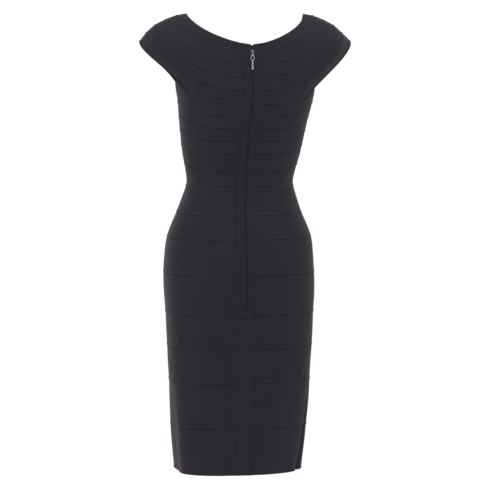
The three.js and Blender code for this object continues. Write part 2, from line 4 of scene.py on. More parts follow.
import bmesh
import bpy
import numpy as np
from mathutils import Matrix, Vector


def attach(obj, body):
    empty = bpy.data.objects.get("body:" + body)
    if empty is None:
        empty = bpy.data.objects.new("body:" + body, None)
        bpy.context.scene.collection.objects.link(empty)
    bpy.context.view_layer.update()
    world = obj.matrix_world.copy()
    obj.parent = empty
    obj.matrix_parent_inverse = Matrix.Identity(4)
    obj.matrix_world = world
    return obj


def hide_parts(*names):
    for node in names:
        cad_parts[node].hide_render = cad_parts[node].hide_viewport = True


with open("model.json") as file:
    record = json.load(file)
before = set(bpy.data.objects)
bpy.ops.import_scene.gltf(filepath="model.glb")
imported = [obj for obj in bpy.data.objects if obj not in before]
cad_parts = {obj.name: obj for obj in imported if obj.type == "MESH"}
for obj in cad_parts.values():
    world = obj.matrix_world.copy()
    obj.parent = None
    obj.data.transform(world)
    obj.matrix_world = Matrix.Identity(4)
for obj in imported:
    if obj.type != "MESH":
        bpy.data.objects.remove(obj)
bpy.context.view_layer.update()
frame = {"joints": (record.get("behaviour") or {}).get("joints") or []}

# A bodycon dress of knitted bands, seen from behind and filled out as if worn.
# The tables are in millimetres in the frame of the CAD: X to the wearer's left, Y to the back, Z up.
MM = 0.001

# The cloth wall and the turned edge that ends each band
WALL = 1.8
BAND_END = 19.15
STRIP_EDGE = 18.85

# The body of the dress at each height
LEVELS = {
    "height": [
        -60, -110, -150, -188, -240, -291, -330, -355, -380,
        -418, -470, -508, -559, -661, -763, -866, -970,
    ],
    "half": [
        148, 148, 147.3, 141.4, 133, 125, 116.3, 112.5, 118.5,
        132, 152.5, 157, 159.5, 155, 150, 145, 136,
    ],
    "back": [91, 97, 98, 98, 93, 85, 79, 77, 79, 85, 97, 104, 108, 102, 97, 94, 91],
    "front": [76, 95, 106, 114, 115, 101, 89, 85, 86, 90, 96, 99, 101, 100, 98, 95, 91],
    "sway": [0, 0, 0, 0, 4.5, 8, 10, 11, 11.8, 13.3, 13.6, 14, 13.8, 12.8, 12.8, 15, 17.5],
    "square_back": [2.5, 2.5, 2.6, 2.5, 2.4, 2.3, 2.3, 2.3, 2.4, 2.5, 2.6, 2.7, 2.8, 2.9, 2.9, 2.8, 2.7],
    "square_front": [2.3, 2.3, 2.3, 2.3, 2.3, 2.3, 2.3, 2.3, 2.3, 2.3, 2.3, 2.4, 2.4, 2.5, 2.6, 2.6, 2.5],
}

# Seams over both shoulders: back, front, reach, top, fullness behind and before, sharpness of the crest
YOKE_SEAMS = np.array([
    (-71, -98, 124, -1, 1.54, 2.5, 0.85),
    (-91, -122, 147, -5, 1.64, 2, 0.75),
    (-115, -147, 170, -14, 1.85, 1.72, 0.65),
    (-141, -171.5, 191, -25, 1.88, 1.58, 0.6),
    (-168, -196, 209, -41, 1.85, 1.5, 0.6),
])

# The left shoulder hangs lower than the right, and more so towards its cap
LEFT_DROP = 3.5

# The armhole: turns of the armpits in degrees, each cap's tip and the handles of its edge's curve
ARMPIT_BACK = 55
ARMPIT_FRONT = 127
LEFT_CAP = {
    "tip": (223.5, 0, -62),
    "tip_back": (229.5, 38, -86),
    "tip_front": (222, -38, -79),
    "armpit_back": (165, 56, -123),
    "armpit_front": (131, -66, -125),
}
RIGHT_CAP = {
    "tip": (226.5, 0, -57.3),
    "tip_back": (231, 38, -80),
    "tip_front": (227, -38, -72),
    "armpit_back": (160, 56, -133),
    "armpit_front": (136, -66, -130),
}

# The left side of the underarm edge stands higher than the right
LEFT_UNDERARM_LIFT = 9

# Seams round the body: height at centre back, side and front
BODY_SEAMS = np.array([
    (-193.6, -152, -220),
    (-217.3, -187, -243),
    (-244, -218, -267),
    (-269.7, -247.7, -290),
    (-296.2, -278, -313),
    (-333.7, -318.5, -346),
    (-373.5, -364.5, -381),
    (-423.6, -419.6, -427),
    (-473.2, -471, -475),
    (-546, -546, -547),
    (-629, -630, -630),
    (-700.5, -702, -702),
    (-772.5, -775, -775),
    (-867.5, -873, -872),
    (-967, -967, -969),
])
SETTLED_SEAM = 8

# Lengthwise troughs of the skirt: side, turn, lean and spread in degrees, depth, and the heights
# where they start and are full. The last is a finer crease within the first.
FOLDS = [
    (-1, 78, -18, 5.5, 7, -700, -860),
    (1, 78, 4, 13, 7, -740, -910),
    (-1, 118, 5, 10, 5, -660, -820),
    (1, 121, 4, 10, 6, -650, -780),
    (-1, 75.5, -18, 3, 1.6, -700, -840),
]
FOLD_END = -970

# Slanting drag lines at the waist and bust: x and height at both ends, width, depth
BACK_WRINKLES = [
    (22, -312, 78, -348, 5.5, 1.5),
    (36, -340, 66, -362, 4.5, 0.8),
    (-48, -374, -20, -424, 6, 1.4),
    (-30, -330, -70, -356, 6, 0.7),
    (60, -384, 96, -398, 6, 0.8),
    (-70, -392, -104, -402, 6, 0.9),
    (30, -436, 62, -452, 8, 0.6),
]
FRONT_WRINKLES = [
    (-30, -330, -82, -352, 6, 1.3),
    (26, -338, 74, -360, 6, 1.1),
    (-24, -392, -60, -372, 6, 0.9),
    (38, -404, 84, -386, 6, 0.8),
    (-60, -188, -104, -168, 8, 1.2),
    (62, -190, 106, -170, 8, 1.0),
]

# Columns of each half and rows of the fine grid
FINER = 8
BACK_COLUMNS = 7 * FINER
SIDE_COLUMNS = 12 * FINER
FRONT_COLUMNS = 7 * FINER
HALF_COLUMNS = BACK_COLUMNS + SIDE_COLUMNS + FRONT_COLUMNS
CROWDING_PLACES = (0.3, 0.7)
CROWDING_SPREAD = 0.07
CROWDING_MORE = 0.9
FINE_STEPS = 900
ROW_STEP = 3.0
FEWEST_ROWS = 6

# The camera, at the photograph's angle and distance
CAMERA_TURN = 9
CAMERA_DISTANCE = 3.5
CAMERA_HEIGHT = -0.244
CAMERA_PITCH = 4.028
FOCAL_PIXELS = 1651
IMAGE_PIXELS = 490
SENSOR = 36


def make_camera():
    turn = math.radians(CAMERA_TURN)
    place = Vector((math.sin(turn), math.cos(turn), 0)) * CAMERA_DISTANCE
    place.z = CAMERA_HEIGHT
    pitch = math.radians(CAMERA_PITCH)
    level = math.cos(pitch)
    towards = Vector((-math.sin(turn) * level, -math.cos(turn) * level, -math.sin(pitch)))
    data = bpy.data.cameras.new("camera")
    data.sensor_width = SENSOR
    data.lens = FOCAL_PIXELS / IMAGE_PIXELS * SENSOR
    data.clip_start = 0.05
    data.clip_end = 100
    camera = bpy.data.objects.new("camera", data)
    camera.location = place
    camera.rotation_mode = "QUATERNION"
    camera.rotation_quaternion = towards.to_track_quat("-Z", "Y")
    bpy.context.scene.collection.objects.link(camera)
    bpy.context.scene.camera = camera


make_camera()


# Forms of the cloth

def smoothstep(value, low, high):
    t = np.clip((value - low) / (high - low), 0, 1)
    return t * t * (3 - 2 * t)


def read(column, height):
    """A column of LEVELS at these heights, eased through its rows."""
    down = -np.array(LEVELS["height"], float)
    values = np.array(LEVELS[column], float)
    slopes = np.empty_like(values)
    slopes[1:-1] = (values[2:] - values[:-2]) / (down[2:] - down[:-2])
    slopes[0] = (values[1] - values[0]) / (down[1] - down[0])
    slopes[-1] = (values[-1] - values[-2]) / (down[-1] - down[-2])
    at = np.clip(-np.asarray(height, float), down[0], down[-1])
    i = np.clip(np.searchsorted(down, at, side="right") - 1, 0, len(down) - 2)
    span = down[i + 1] - down[i]
    t = (at - down[i]) / span
    start = values[i] * (1 + 2 * t) * (1 - t) ** 2 + slopes[i] * span * t * (1 - t) ** 2
    end = values[i + 1] * t * t * (3 - 2 * t) + slopes[i + 1] * span * t * t * (t - 1)
    return start + end


def fold_depth(side, turn, height):
    """How deep the troughs of FOLDS are at a point of the body."""
    depth = np.zeros(np.broadcast(turn, height).shape)
    for fold_side, at, lean, spread, deep, start, full in FOLDS:
        if fold_side != side:
            continue
        down = (start - height) / (start - FOLD_END)
        off = (turn - np.radians(at + lean * down)) / math.radians(spread)
        depth += deep * smoothstep(-height, -start, -full) * np.exp(-off * off)
    return depth


def body_point(side, turn, height):
    """A point of the body's outer face: turn is 0 at centre back and half a circle at centre front."""
    rear = turn < math.pi / 2
    power = 2 / np.where(rear, read("square_back", height), read("square_front", height))
    half = read("half", height)
    depth = np.where(rear, read("back", height), -read("front", height))
    across = half * np.maximum(np.sin(turn), 0) ** power
    along = depth * np.abs(np.cos(turn)) ** power
    shrink = 1 - fold_depth(side, turn, height) / np.hypot(across, along)
    x = read("sway", height) + side * across * shrink
    return np.stack(np.broadcast_arrays(x, along * shrink, height), -1)


def turn_at(offset, half, square):
    return np.arcsin((offset / half) ** (square / 2))


class BodyLine:
    """A line round the body whose height eases up towards the sides."""

    def __init__(self, seam, left_lift=0):
        self.back, self.side, self.front = seam
        self.left_lift = left_lift
        self.half = float(read("half", self.back))
        self.square = float(read("square_back", self.back))
        self.start = float(turn_at(BAND_END, self.half, self.square))

    def at(self, side, turn):
        middle = np.where(turn < math.pi / 2, self.back, self.front)
        beside = self.side + (self.left_lift if side > 0 else 0)
        return body_point(side, turn, middle + (beside - middle) * np.sin(turn) ** 4)

    def beside(self, side, offset):
        return self.at(side, turn_at(offset, self.half, self.square))


class YokeLine:
    """A line over both shoulders."""

    def __init__(self, seam):
        self.back, self.front, self.reach, self.top, self.full, self.full_front, self.crest = seam
        self.start = float(turn_at(BAND_END, self.reach, self.full))

    def at(self, side, turn):
        rear = turn < math.pi / 2
        power = 2 / np.where(rear, self.full, self.full_front)
        end = np.where(rear, self.back, self.front)
        depth = np.where(rear, read("back", self.back), -read("front", self.front))
        drop = np.abs(np.cos(turn)) ** power
        lowered = LEFT_DROP * self.reach / YOKE_SEAMS[-1, 2] if side > 0 else 0
        top = self.top - lowered
        x = side * self.reach * np.maximum(np.sin(turn), 0) ** power
        return np.stack([x, depth * drop ** self.crest, top + (end - top) * drop], -1)

    def beside(self, side, offset):
        return self.at(side, turn_at(offset, self.reach, self.full))


class MixedLine:
    """A line between two others, used only beside the centre back."""

    def __init__(self, a, b, t):
        self.a, self.b, self.t = a, b, t

    def beside(self, side, offset):
        return self.a.beside(side, offset) * (1 - self.t) + self.b.beside(side, offset) * self.t


def run_lengths(points):
    steps = np.linalg.norm(np.diff(points, axis=0), axis=1)
    return np.concatenate([[0], np.cumsum(steps)])


def spread_points(points, shares):
    lengths = run_lengths(points)
    want = np.asarray(shares) * lengths[-1]
    return np.stack([np.interp(want, lengths, points[:, i]) for i in range(3)], -1)


def shares_of(points):
    lengths = run_lengths(points)
    return lengths / lengths[-1]


def crowded_shares(count):
    """Shares of a half round that crowd towards the corners, where the folds lie."""
    middle = (np.arange(FINE_STEPS) + 0.5) / FINE_STEPS
    density = np.ones(FINE_STEPS)
    for place in CROWDING_PLACES:
        density += CROWDING_MORE * np.exp(-(((middle - place) / CROWDING_SPREAD) ** 2))
    sums = np.concatenate([[0], np.cumsum(density)])
    return np.interp(np.linspace(0, 1, count + 1), sums / sums[-1], np.linspace(0, 1, FINE_STEPS + 1))


def whole_round(half_run):
    return np.concatenate([half_run(1), half_run(-1)[::-1][1:]])


def round_of(line, shares):
    turns = np.linspace(line.start, math.pi, FINE_STEPS + 1)
    return whole_round(lambda side: spread_points(line.at(side, turns), shares))


def bezier(points, count):
    a, b, c, d = [np.array(p, float) for p in points]
    t = np.linspace(0, 1, count + 1)[:, None]
    return a * (1 - t) ** 3 + 3 * b * t * (1 - t) ** 2 + 3 * c * t * t * (1 - t) + d * t ** 3


UNDERARM = BodyLine(BODY_SEAMS[0], LEFT_UNDERARM_LIFT)


def stretches(side):
    """The underarm edge of one side in three: behind, under the arm and in front."""
    marks = [UNDERARM.start, math.radians(ARMPIT_BACK), math.radians(ARMPIT_FRONT), math.pi]
    return [UNDERARM.at(side, np.linspace(a, b, FINE_STEPS + 1)) for a, b in zip(marks, marks[1:])]


def cap_edge(side):
    """The edge of a cap sleeve, from the back armpit over its tip to the front armpit."""
    cap = LEFT_CAP if side > 0 else RIGHT_CAP
    at = {name: (side * x, y, z) for name, (x, y, z) in cap.items()}
    back, _, front = stretches(side)
    rise = bezier([back[-1], at["armpit_back"], at["tip_back"], at["tip"]], FINE_STEPS)
    fall = bezier([at["tip"], at["tip_front"], at["armpit_front"], front[0]], FINE_STEPS)
    return np.concatenate([rise, fall[1:]])


def joined(back, middle, front):
    return np.concatenate([
        spread_points(back, np.linspace(0, 1, BACK_COLUMNS + 1)),
        spread_points(middle, np.linspace(0, 1, SIDE_COLUMNS + 1))[1:],
        spread_points(front, np.linspace(0, 1, FRONT_COLUMNS + 1))[1:],
    ])


def cap_run(side):
    back, _, front = stretches(side)
    return joined(back, cap_edge(side), front)


def underarm_run(side):
    return joined(*stretches(side))


YOKE_SHARES = shares_of(cap_run(1))
UNDERARM_SHARES = shares_of(underarm_run(1))
SKIRT_SHARES = crowded_shares(HALF_COLUMNS)
CAP_ROUND = whole_round(cap_run)
UNDERARM_ROUND = whole_round(underarm_run)
LAST_SEAM = len(YOKE_SEAMS) - 1


def mixed_seam(seams, place):
    i = min(int(place), len(seams) - 2)
    return seams[i] + (seams[i + 1] - seams[i]) * (place - i)


def yoke_row(place):
    """Columns of a row of the yoke, and the line that reaches beside the opening."""
    if place <= LAST_SEAM:
        line = YokeLine(mixed_seam(YOKE_SEAMS, place))
        return round_of(line, YOKE_SHARES), line
    t = place - LAST_SEAM
    line = YokeLine(YOKE_SEAMS[LAST_SEAM])
    columns = round_of(line, YOKE_SHARES) * (1 - t) + CAP_ROUND * t
    return columns, MixedLine(line, UNDERARM, t)


def body_row(place):
    if place == 0:
        return UNDERARM_ROUND, UNDERARM
    line = BodyLine(mixed_seam(BODY_SEAMS, place), LEFT_UNDERARM_LIFT * max(1 - place, 0))
    settled = smoothstep(place, 0, SETTLED_SEAM)
    return round_of(line, UNDERARM_SHARES + (SKIRT_SHARES - UNDERARM_SHARES) * settled), line


def unit(vectors):
    return vectors / np.linalg.norm(vectors, axis=-1, keepdims=True)


def outwards(grid):
    along = np.gradient(grid, axis=1)
    down = np.gradient(grid, axis=0)
    return unit(np.cross(along, down))


class Wall:
    """A grid of rows and columns with its bands, each from one row to another."""

    def __init__(self, row_at, seams, names):
        self.bands = {}
        places = [0.0]
        for k, name in enumerate(names):
            width = abs(seams[k + 1] - seams[k])
            count = max(round(width / ROW_STEP), FEWEST_ROWS)
            self.bands[name] = (len(places) - 1, len(places) - 1 + count)
            places += [k + (j + 1) / count for j in range(count)]
        rows = [row_at(place) for place in places]
        self.grid = np.stack([columns for columns, _ in rows])
        self.lines = [line for _, line in rows]


YOKE_NAMES = [f"yoke_band_{i}" for i in range(1, 6)]
BODY_NAMES = [f"bodice_band_{i}" for i in range(1, 7)] + [f"skirt_band_{i}" for i in range(1, 9)]
yoke = Wall(yoke_row, [*YOKE_SEAMS[:, 0], BODY_SEAMS[0, 0]], YOKE_NAMES)
body = Wall(body_row, BODY_SEAMS[:, 0], BODY_NAMES)


# Soft relief of the cloth between its seams

RIDGE_SHARE = 0.7
RIDGE_OFF = 1.6
FADE_POWER = 0.8


def drag_lines(points, wrinkles):
    """Troughs along slanting lines, each with a softer ridge on its upper side."""
    lift = np.zeros(points.shape[:-1])
    flat = points[..., [0, 2]]
    for x0, z0, x1, z1, width, depth in wrinkles:
        start = np.array([x0, z0], float)
        run = np.array([x1 - x0, z1 - z0], float)
        length = np.linalg.norm(run)
        ahead = run / length
        square = np.array([-ahead[1], ahead[0]]) * (1 if ahead[0] > 0 else -1)
        t = (flat - start) @ ahead / length
        off = (flat - start) @ square / width
        fade = np.sin(np.pi * np.clip(t, 0, 1)) ** FADE_POWER
        lift += depth * fade * (RIDGE_SHARE * np.exp(-((off - RIDGE_OFF) ** 2)) - np.exp(-off * off))
    return lift


# Where the back's drag lines give way to the front's
SIDE_BLEND = 10

# Slow swells of the skirt and bodice: waves round the body, turn of the waves down it for each
# millimetre, phase and height
SWELLS = [
    (3, 0.022, 0.4, 0.35),
    (5, 0.038, 2.1, 0.3),
    (8, 0.062, 4.0, 0.22),
    (13, 0.046, 1.3, 0.16),
    (21, 0.094, 5.2, 0.1),
]
SWELL_SHIFT = 1.7


def swell(points):
    """Lift of the slow swells at each point."""
    turn = np.arctan2(points[..., 1], points[..., 0])
    height = points[..., 2]
    lift = np.zeros(turn.shape)
    for round_waves, down_waves, phase, high in SWELLS:
        down = np.sin(down_waves * height + SWELL_SHIFT * phase)
        lift += high * np.sin(round_waves * turn + phase) * down
    return lift


def relief(points):
    back = smoothstep(points[..., 1], -SIDE_BLEND, SIDE_BLEND)
    lines = back * drag_lines(points, BACK_WRINKLES) + (1 - back) * drag_lines(points, FRONT_WRINKLES)
    return lines + swell(points)


def soften(wall):
    """Moves a wall's points by the relief and works out its outward directions."""
    out = outwards(wall.grid)
    wall.grid = wall.grid + out * relief(wall.grid)[..., None]
    wall.out = outwards(wall.grid)


soften(yoke)
soften(body)


def share_seam():
    """Where the cap and the underarm edge are one seam they share one outward direction."""
    column = np.arange(2 * HALF_COLUMNS + 1)
    half = np.minimum(column, 2 * HALF_COLUMNS - column)
    shared = (half <= BACK_COLUMNS) | (half >= BACK_COLUMNS + SIDE_COLUMNS)
    common = unit(yoke.out[-1] + body.out[0])
    yoke.out[-1][shared] = common[shared]
    body.out[0][shared] = common[shared]
    middle = (yoke.grid[-1] + body.grid[0]) / 2
    yoke.grid[-1][shared] = middle[shared]
    body.grid[0][shared] = middle[shared]


share_seam()


# Meshes

def make_mesh(name, points, quads, ends=(), cloth=None):
    """A mesh in metres from quads and flat end faces.

    cloth holds each point's place on the flat cloth in metres and how proud it stands in millimetres."""
    quads = np.asarray(quads)
    sizes = np.concatenate([np.full(len(quads), quads.shape[1]), [len(end) for end in ends]]).astype(int)
    corners = np.concatenate([quads.ravel(), *[np.asarray(end) for end in ends]]).astype(int)
    mesh = bpy.data.meshes.new(name)
    mesh.vertices.add(len(points))
    mesh.vertices.foreach_set("co", (np.asarray(points) * MM).astype(np.float32).ravel())
    mesh.loops.add(len(corners))
    mesh.loops.foreach_set("vertex_index", corners)
    mesh.polygons.add(len(sizes))
    mesh.polygons.foreach_set("loop_start", np.concatenate([[0], np.cumsum(sizes)[:-1]]).astype(int))
    smooth = np.ones(len(sizes), bool)
    smooth[len(quads):] = False
    mesh.polygons.foreach_set("use_smooth", smooth)
    if cloth is not None:
        layer = mesh.attributes.new("cloth", "FLOAT_VECTOR", "POINT")
        layer.data.foreach_set("vector", np.asarray(cloth, np.float32).ravel())
    mesh.update(calc_edges=True)
    mesh.validate()
    piece = bpy.data.objects.new(name, mesh)
    bpy.context.scene.collection.objects.link(piece)
    return piece


def ring_faces(rings, columns):
    """Quads of closed rings laid side by side, and a face at each end."""
    ring, column = np.meshgrid(np.arange(rings), np.arange(columns - 1), indexing="ij")
    after = (ring + 1) % rings
    quads = np.stack([
        ring * columns + column,
        ring * columns + column + 1,
        after * columns + column + 1,
        after * columns + column,
    ], -1).reshape(-1, 4)
    first = [r * columns for r in range(rings)]
    last = [r * columns + columns - 1 for r in range(rings)][::-1]
    return quads, [first, last]


def flat_place(points, down):
    """Each point's distance along its band and down it, in metres."""
    middle = points[len(points) // 4]
    along = run_lengths(middle)
    return np.stack(np.broadcast_arrays(along[None, :] * MM, down * MM), -1)


# A band's outer face, as distances from its upper and lower edge, with how proud the cloth stands
UPPER_EDGE = [(-3.2, -1.95), (-0.2, -1.9), (0.12, -1.3), (0.2, -0.45), (0.55, -0.14), (1.3, 0)]
NECK_EDGE = [
    (0.0, -0.9), (0.12, -0.25), (0.6, 0.2), (1.5, 0.35), (3.2, 0.3), (4.6, 0.1), (5.4, -0.18), (6.2, 0),
]
LOWER_EDGE = [
    (6.8, 0), (6.2, -0.1), (5.75, -0.18), (5.35, -0.05), (4.8, 0.2), (4.0, 0.4), (2.8, 0.65), (1.7, 0.85),
    (0.9, 0.9), (0.4, 0.68), (0.15, 0.15), (0.15, -0.4), (0.2, -0.9),
]
INNER_LOW = [(0.35, -1.5), (1.4, -1.8)]
INNER_HIGH = [(2.6, -1.85), (1.2, -2.3), (-3.2, -2.45)]
NECK_INNER_HIGH = [(1.4, -1.8), (0.35, -1.5)]
BODY_STEP = 3.0
INNER_STEP = 11.0
INNER_MARGIN = 1.36
NO_ALLOWANCE = 0.1
ALLOWANCE_FADE = 2 * FINER
FEWEST_BODY_ROWS = 3
FEWEST_INNER_ROWS = 2

# Puckers along the stitches: height, length, unevenness, distance from the lower edge and spread
PUCKER = 0.12
PUCKER_LENGTH = 5.5
PUCKER_DRIFT = 1.3
PUCKER_BEAT = 0.37
PUCKER_AT = 6.4
PUCKER_SPREAD = 3.5

# How far a band bulges between its seams
TENSION = 0.45


def resample(wall, name, down):
    """Points and outward directions of a band at distances down its columns."""
    first, last = wall.bands[name]
    grid = wall.grid[first:last + 1]
    out = wall.out[first:last + 1]
    steps = np.linalg.norm(np.diff(grid, axis=0), axis=-1)
    lengths = np.concatenate([np.zeros((1, grid.shape[1])), np.cumsum(steps, axis=0)])
    width = lengths[-1]
    want = down(width)
    i = np.clip((lengths[None] <= want[:, None]).sum(1) - 1, 0, len(grid) - 2)
    column = np.broadcast_to(np.arange(grid.shape[1]), i.shape)
    start = lengths[i, column]
    t = np.minimum((want - start) / (lengths[i + 1, column] - start), 1)[..., None]
    points = grid[i, column] * (1 - t) + grid[i + 1, column] * t
    directions = unit(out[i, column] * (1 - t) + out[i + 1, column] * t)
    return points, directions, want, width


def allowance(name):
    """How much of a band's seam allowance lies under its upper neighbour: none at the armhole."""
    column = np.arange(2 * HALF_COLUMNS + 1)
    if name != "bodice_band_1":
        return np.ones(len(column))
    half = np.minimum(column, 2 * HALF_COLUMNS - column)
    front_from = BACK_COLUMNS + SIDE_COLUMNS
    back = 1 - smoothstep(half, BACK_COLUMNS - ALLOWANCE_FADE, BACK_COLUMNS)
    return back + smoothstep(half, front_from, front_from + ALLOWANCE_FADE)


def band_piece(wall, name, upper, inner_high):
    """A band as a closed thin shell with a turned lower edge and an allowance under the band above."""
    first, last = wall.bands[name]
    rough_width = np.linalg.norm(wall.grid[last] - wall.grid[first], axis=-1).mean()
    top, bottom = upper[-1][0], LOWER_EDGE[0][0]
    rows = max(round((rough_width - top - bottom) / BODY_STEP), FEWEST_BODY_ROWS)
    shares = np.arange(1, rows) / rows
    inner_rows = max(round(rough_width / INNER_STEP), FEWEST_INNER_ROWS)
    inner_shares = np.arange(1, inner_rows) / inner_rows
    under = allowance(name)

    def from_top(edge):
        return [np.where(d < 0, d * under + NO_ALLOWANCE * (1 - under), d) for d, _ in edge]

    def down(width):
        body_rows = [top + (width - top - bottom) * share for share in shares]
        inner = [width - INNER_MARGIN - (width - 2 * INNER_MARGIN) * share for share in inner_shares]
        lower = [width - d for d, _ in LOWER_EDGE + INNER_LOW]
        return np.stack(from_top(upper) + body_rows + lower + inner + from_top(inner_high))

    points, directions, want, width = resample(wall, name, down)
    lifts = [lift for _, lift in upper] + [0] * len(shares) + [lift for _, lift in LOWER_EDGE]
    outer_rows = len(lifts)
    lifts += [lift for _, lift in INNER_LOW] + [-WALL] * len(inner_shares)
    lifts += [lift for _, lift in inner_high]
    lift = np.array(lifts, float)[:, None] + np.zeros_like(want)
    along = run_lengths(points[0])
    near_edge = np.exp(-((want - (width - PUCKER_AT)) / PUCKER_SPREAD) ** 2)
    phase = 2 * np.pi * along / PUCKER_LENGTH
    pucker = PUCKER * np.sin(phase + PUCKER_DRIFT * np.sin(phase * PUCKER_BEAT)) * near_edge
    tight = TENSION * np.sin(np.pi * np.clip(want / width, 0, 1))
    lift[:outer_rows] += (pucker + tight)[:outer_rows]
    lift[outer_rows:] += tight[outer_rows:]
    proud = np.zeros_like(want)
    proud[:outer_rows] = lift[:outer_rows] - tight[:outer_rows]
    placed = points + directions * lift[..., None]
    flat = flat_place(placed, want)
    cloth = np.concatenate([flat, proud[..., None]], -1)
    rings, columns = want.shape
    quads, ends = ring_faces(rings, columns)
    piece = make_mesh(name + "_knit", placed.reshape(-1, 3), quads, ends, cloth.reshape(-1, 3))
    area = float((width[:-1] * np.diff(along)).sum())
    return piece, float(width.max()), float(along[-1]), area


# Stitches, each a short bead that dips into the cloth at both ends
STITCH_ROW = 5.75
STITCH_LENGTH = 2.5
STITCH_PITCH = 3.3
STITCH_SECTIONS = [(-1.25, 0.09, -0.33), (-0.75, 0.22, -0.1), (0.75, 0.22, -0.1), (1.25, 0.09, -0.33)]
STITCH_SIDES = 5


def bead(sections, sides):
    """A small closed tube: sections are places along it, sizes and lifts. Its ends are flat."""
    points = []
    for along, size, lift in sections:
        for side in range(sides):
            turn = 2 * math.pi * side / sides
            points.append((along, math.cos(turn) * size, math.sin(turn) * size + lift))
    ring = np.arange(sides)
    quads = [
        np.stack([s * sides + ring, s * sides + (ring + 1) % sides,
                  (s + 1) * sides + (ring + 1) % sides, (s + 1) * sides + ring], -1)
        for s in range(len(sections) - 1)
    ]
    last = (len(sections) - 1) * sides
    return np.array(points), np.concatenate(quads), [ring[::-1], last + ring]


def many(name, template, places, ahead, normal):
    """Copies of a small template, each turned to its own direction and outward direction."""
    points, quads, ends = template
    side = unit(np.cross(normal, ahead))
    turned = (
        places[:, None] + points[None, :, :1] * ahead[:, None]
        + points[None, :, 1:2] * side[:, None] + points[None, :, 2:] * normal[:, None]
    )
    base = np.arange(len(places)) * len(points)
    all_quads = (base[:, None, None] + quads[None]).reshape(-1, 4)
    all_ends = [end + start for start in base for end in ends]
    return make_mesh(name, turned.reshape(-1, 3), all_quads, all_ends)


def stitch_run(path, out):
    """Places, directions and outward directions of the stitches along a path."""
    lengths = run_lengths(path)
    at = np.arange(STITCH_PITCH / 2, lengths[-1] - STITCH_PITCH / 2, STITCH_PITCH)

    def along(values, where):
        return np.stack([np.interp(where, lengths, values[:, i]) for i in range(3)], -1)

    place = along(path, at)
    return place, unit(along(path, at + STITCH_LENGTH / 2) - place), unit(along(out, at))


def stitches(name, runs):
    parts = [stitch_run(path, out) for path, out in runs]
    places, ahead, normal = [np.concatenate(values) for values in zip(*parts)]
    return many(name, bead(STITCH_SECTIONS, STITCH_SIDES), places, ahead, normal)


def seam_stitches(wall, name):
    """A row of stitches along the top of the band's turned edge."""
    points, directions, _, _ = resample(wall, name, lambda width: (width - STITCH_ROW)[None])
    return stitches("stitching_" + name, [(points[0], directions[0])])


# Strips beside and below the zip

CENTRE_LINES = yoke.lines[:-1] + body.lines
ZIP_END_ROW = len(yoke.lines) - 1 + body.bands["skirt_band_4"][1]
HEM_ROW = len(CENTRE_LINES) - 1
OFFSET_REACH = 24
OFFSETS = np.linspace(-OFFSET_REACH, OFFSET_REACH, 97)


def centre_row(line):
    """A line's points beside the centre back at all the offsets, from right to left."""
    right = line.beside(-1, -OFFSETS[OFFSETS < 0])
    left = line.beside(1, OFFSETS[OFFSETS >= 0])
    return np.concatenate([right, left])


CENTRE_GRID = np.stack([centre_row(line) for line in CENTRE_LINES])
CENTRE_GRID = CENTRE_GRID + outwards(CENTRE_GRID) * relief(CENTRE_GRID)[..., None]
CENTRE_OUT = outwards(CENTRE_GRID)


def centre_run(offset, first, last):
    """Points and outward directions beside the centre back line, from one row to another."""
    at = (offset - OFFSETS[0]) / (OFFSETS[1] - OFFSETS[0])
    i = min(int(at), len(OFFSETS) - 2)
    t = at - i

    def between(grid):
        return grid[first:last + 1, i] * (1 - t) + grid[first:last + 1, i + 1] * t

    return between(CENTRE_GRID), unit(between(CENTRE_OUT))


def centre_strip(name, profile, first, last, start_trim=0.0, end_trim=0.0):
    """A closed strip that follows the centre back. profile is a ring of offset and lift.

    The trims shorten its first and last row."""
    columns = []
    for offset, lift in profile:
        points, out = centre_run(offset, first, last)
        points[0] += unit(points[1] - points[0]) * start_trim
        points[-1] += unit(points[-2] - points[-1]) * end_trim
        columns.append(points + out * lift)
    placed = np.stack(columns)
    down = run_lengths(placed[0])
    rings, count = placed.shape[:2]
    offsets = np.array([offset for offset, _ in profile])[:, None]
    lifts = np.array([lift for _, lift in profile])[:, None]
    cloth = np.stack(np.broadcast_arrays(down[None, :] * MM, offsets * MM, lifts), -1)
    quads, ends = ring_faces(rings, count)
    return make_mesh(name, placed.reshape(-1, 3), quads, ends, cloth.reshape(-1, 3))


# A strip's section: distances from its near edge, from a groove's middle, and in from its far edge,
# each with its lift
STRIP_NEAR = [(0.0, -0.6), (0.08, 0.0), (0.35, 0.4), (0.9, 0.56), (1.8, 0.52)]
STRIP_GROOVE = [(-1.5, 0.45), (-0.75, 0.7), (-0.3, 0.2), (0.3, 0.2), (0.75, 0.7), (1.5, 0.45)]
STRIP_FAR = [(0.9, 0.52), (0.35, 0.4), (0.08, 0.0), (0.0, -0.6)]
STRIP_ALLOWANCE = [(0, -1.6), (-0.4, -1.92), (-3, -1.95), (-3, -2.4), (1, -2.3)]
STRIP_FOLD_FAR = (2.5, -WALL)
STRIP_FOLD_NEAR = [(0.8, -WALL), (0.25, -1.6)]


def strip_profile(inner, outer, grooves, both=False):
    """The ring of a strip's section from its edge nearer the zip to its far edge, with sunk stitch lines.

    Its allowance lies under the bands beyond the far edge, or beyond both edges."""
    sign = 1 if outer > inner else -1
    width = abs(outer - inner)
    face = list(STRIP_NEAR)
    for middle in grooves:
        face += [(middle + at, lift) for at, lift in STRIP_GROOVE]
    face += [(width - at, lift) for at, lift in STRIP_FAR]
    back = [(width - at, lift) for at, lift in STRIP_ALLOWANCE]
    if both:
        back += STRIP_ALLOWANCE[::-1]
    else:
        back += [(width - STRIP_FOLD_FAR[0], STRIP_FOLD_FAR[1]), *STRIP_FOLD_NEAR]
    ring = [(inner + sign * at, lift) for at, lift in face + back]
    return ring if sign < 0 else ring[::-1]


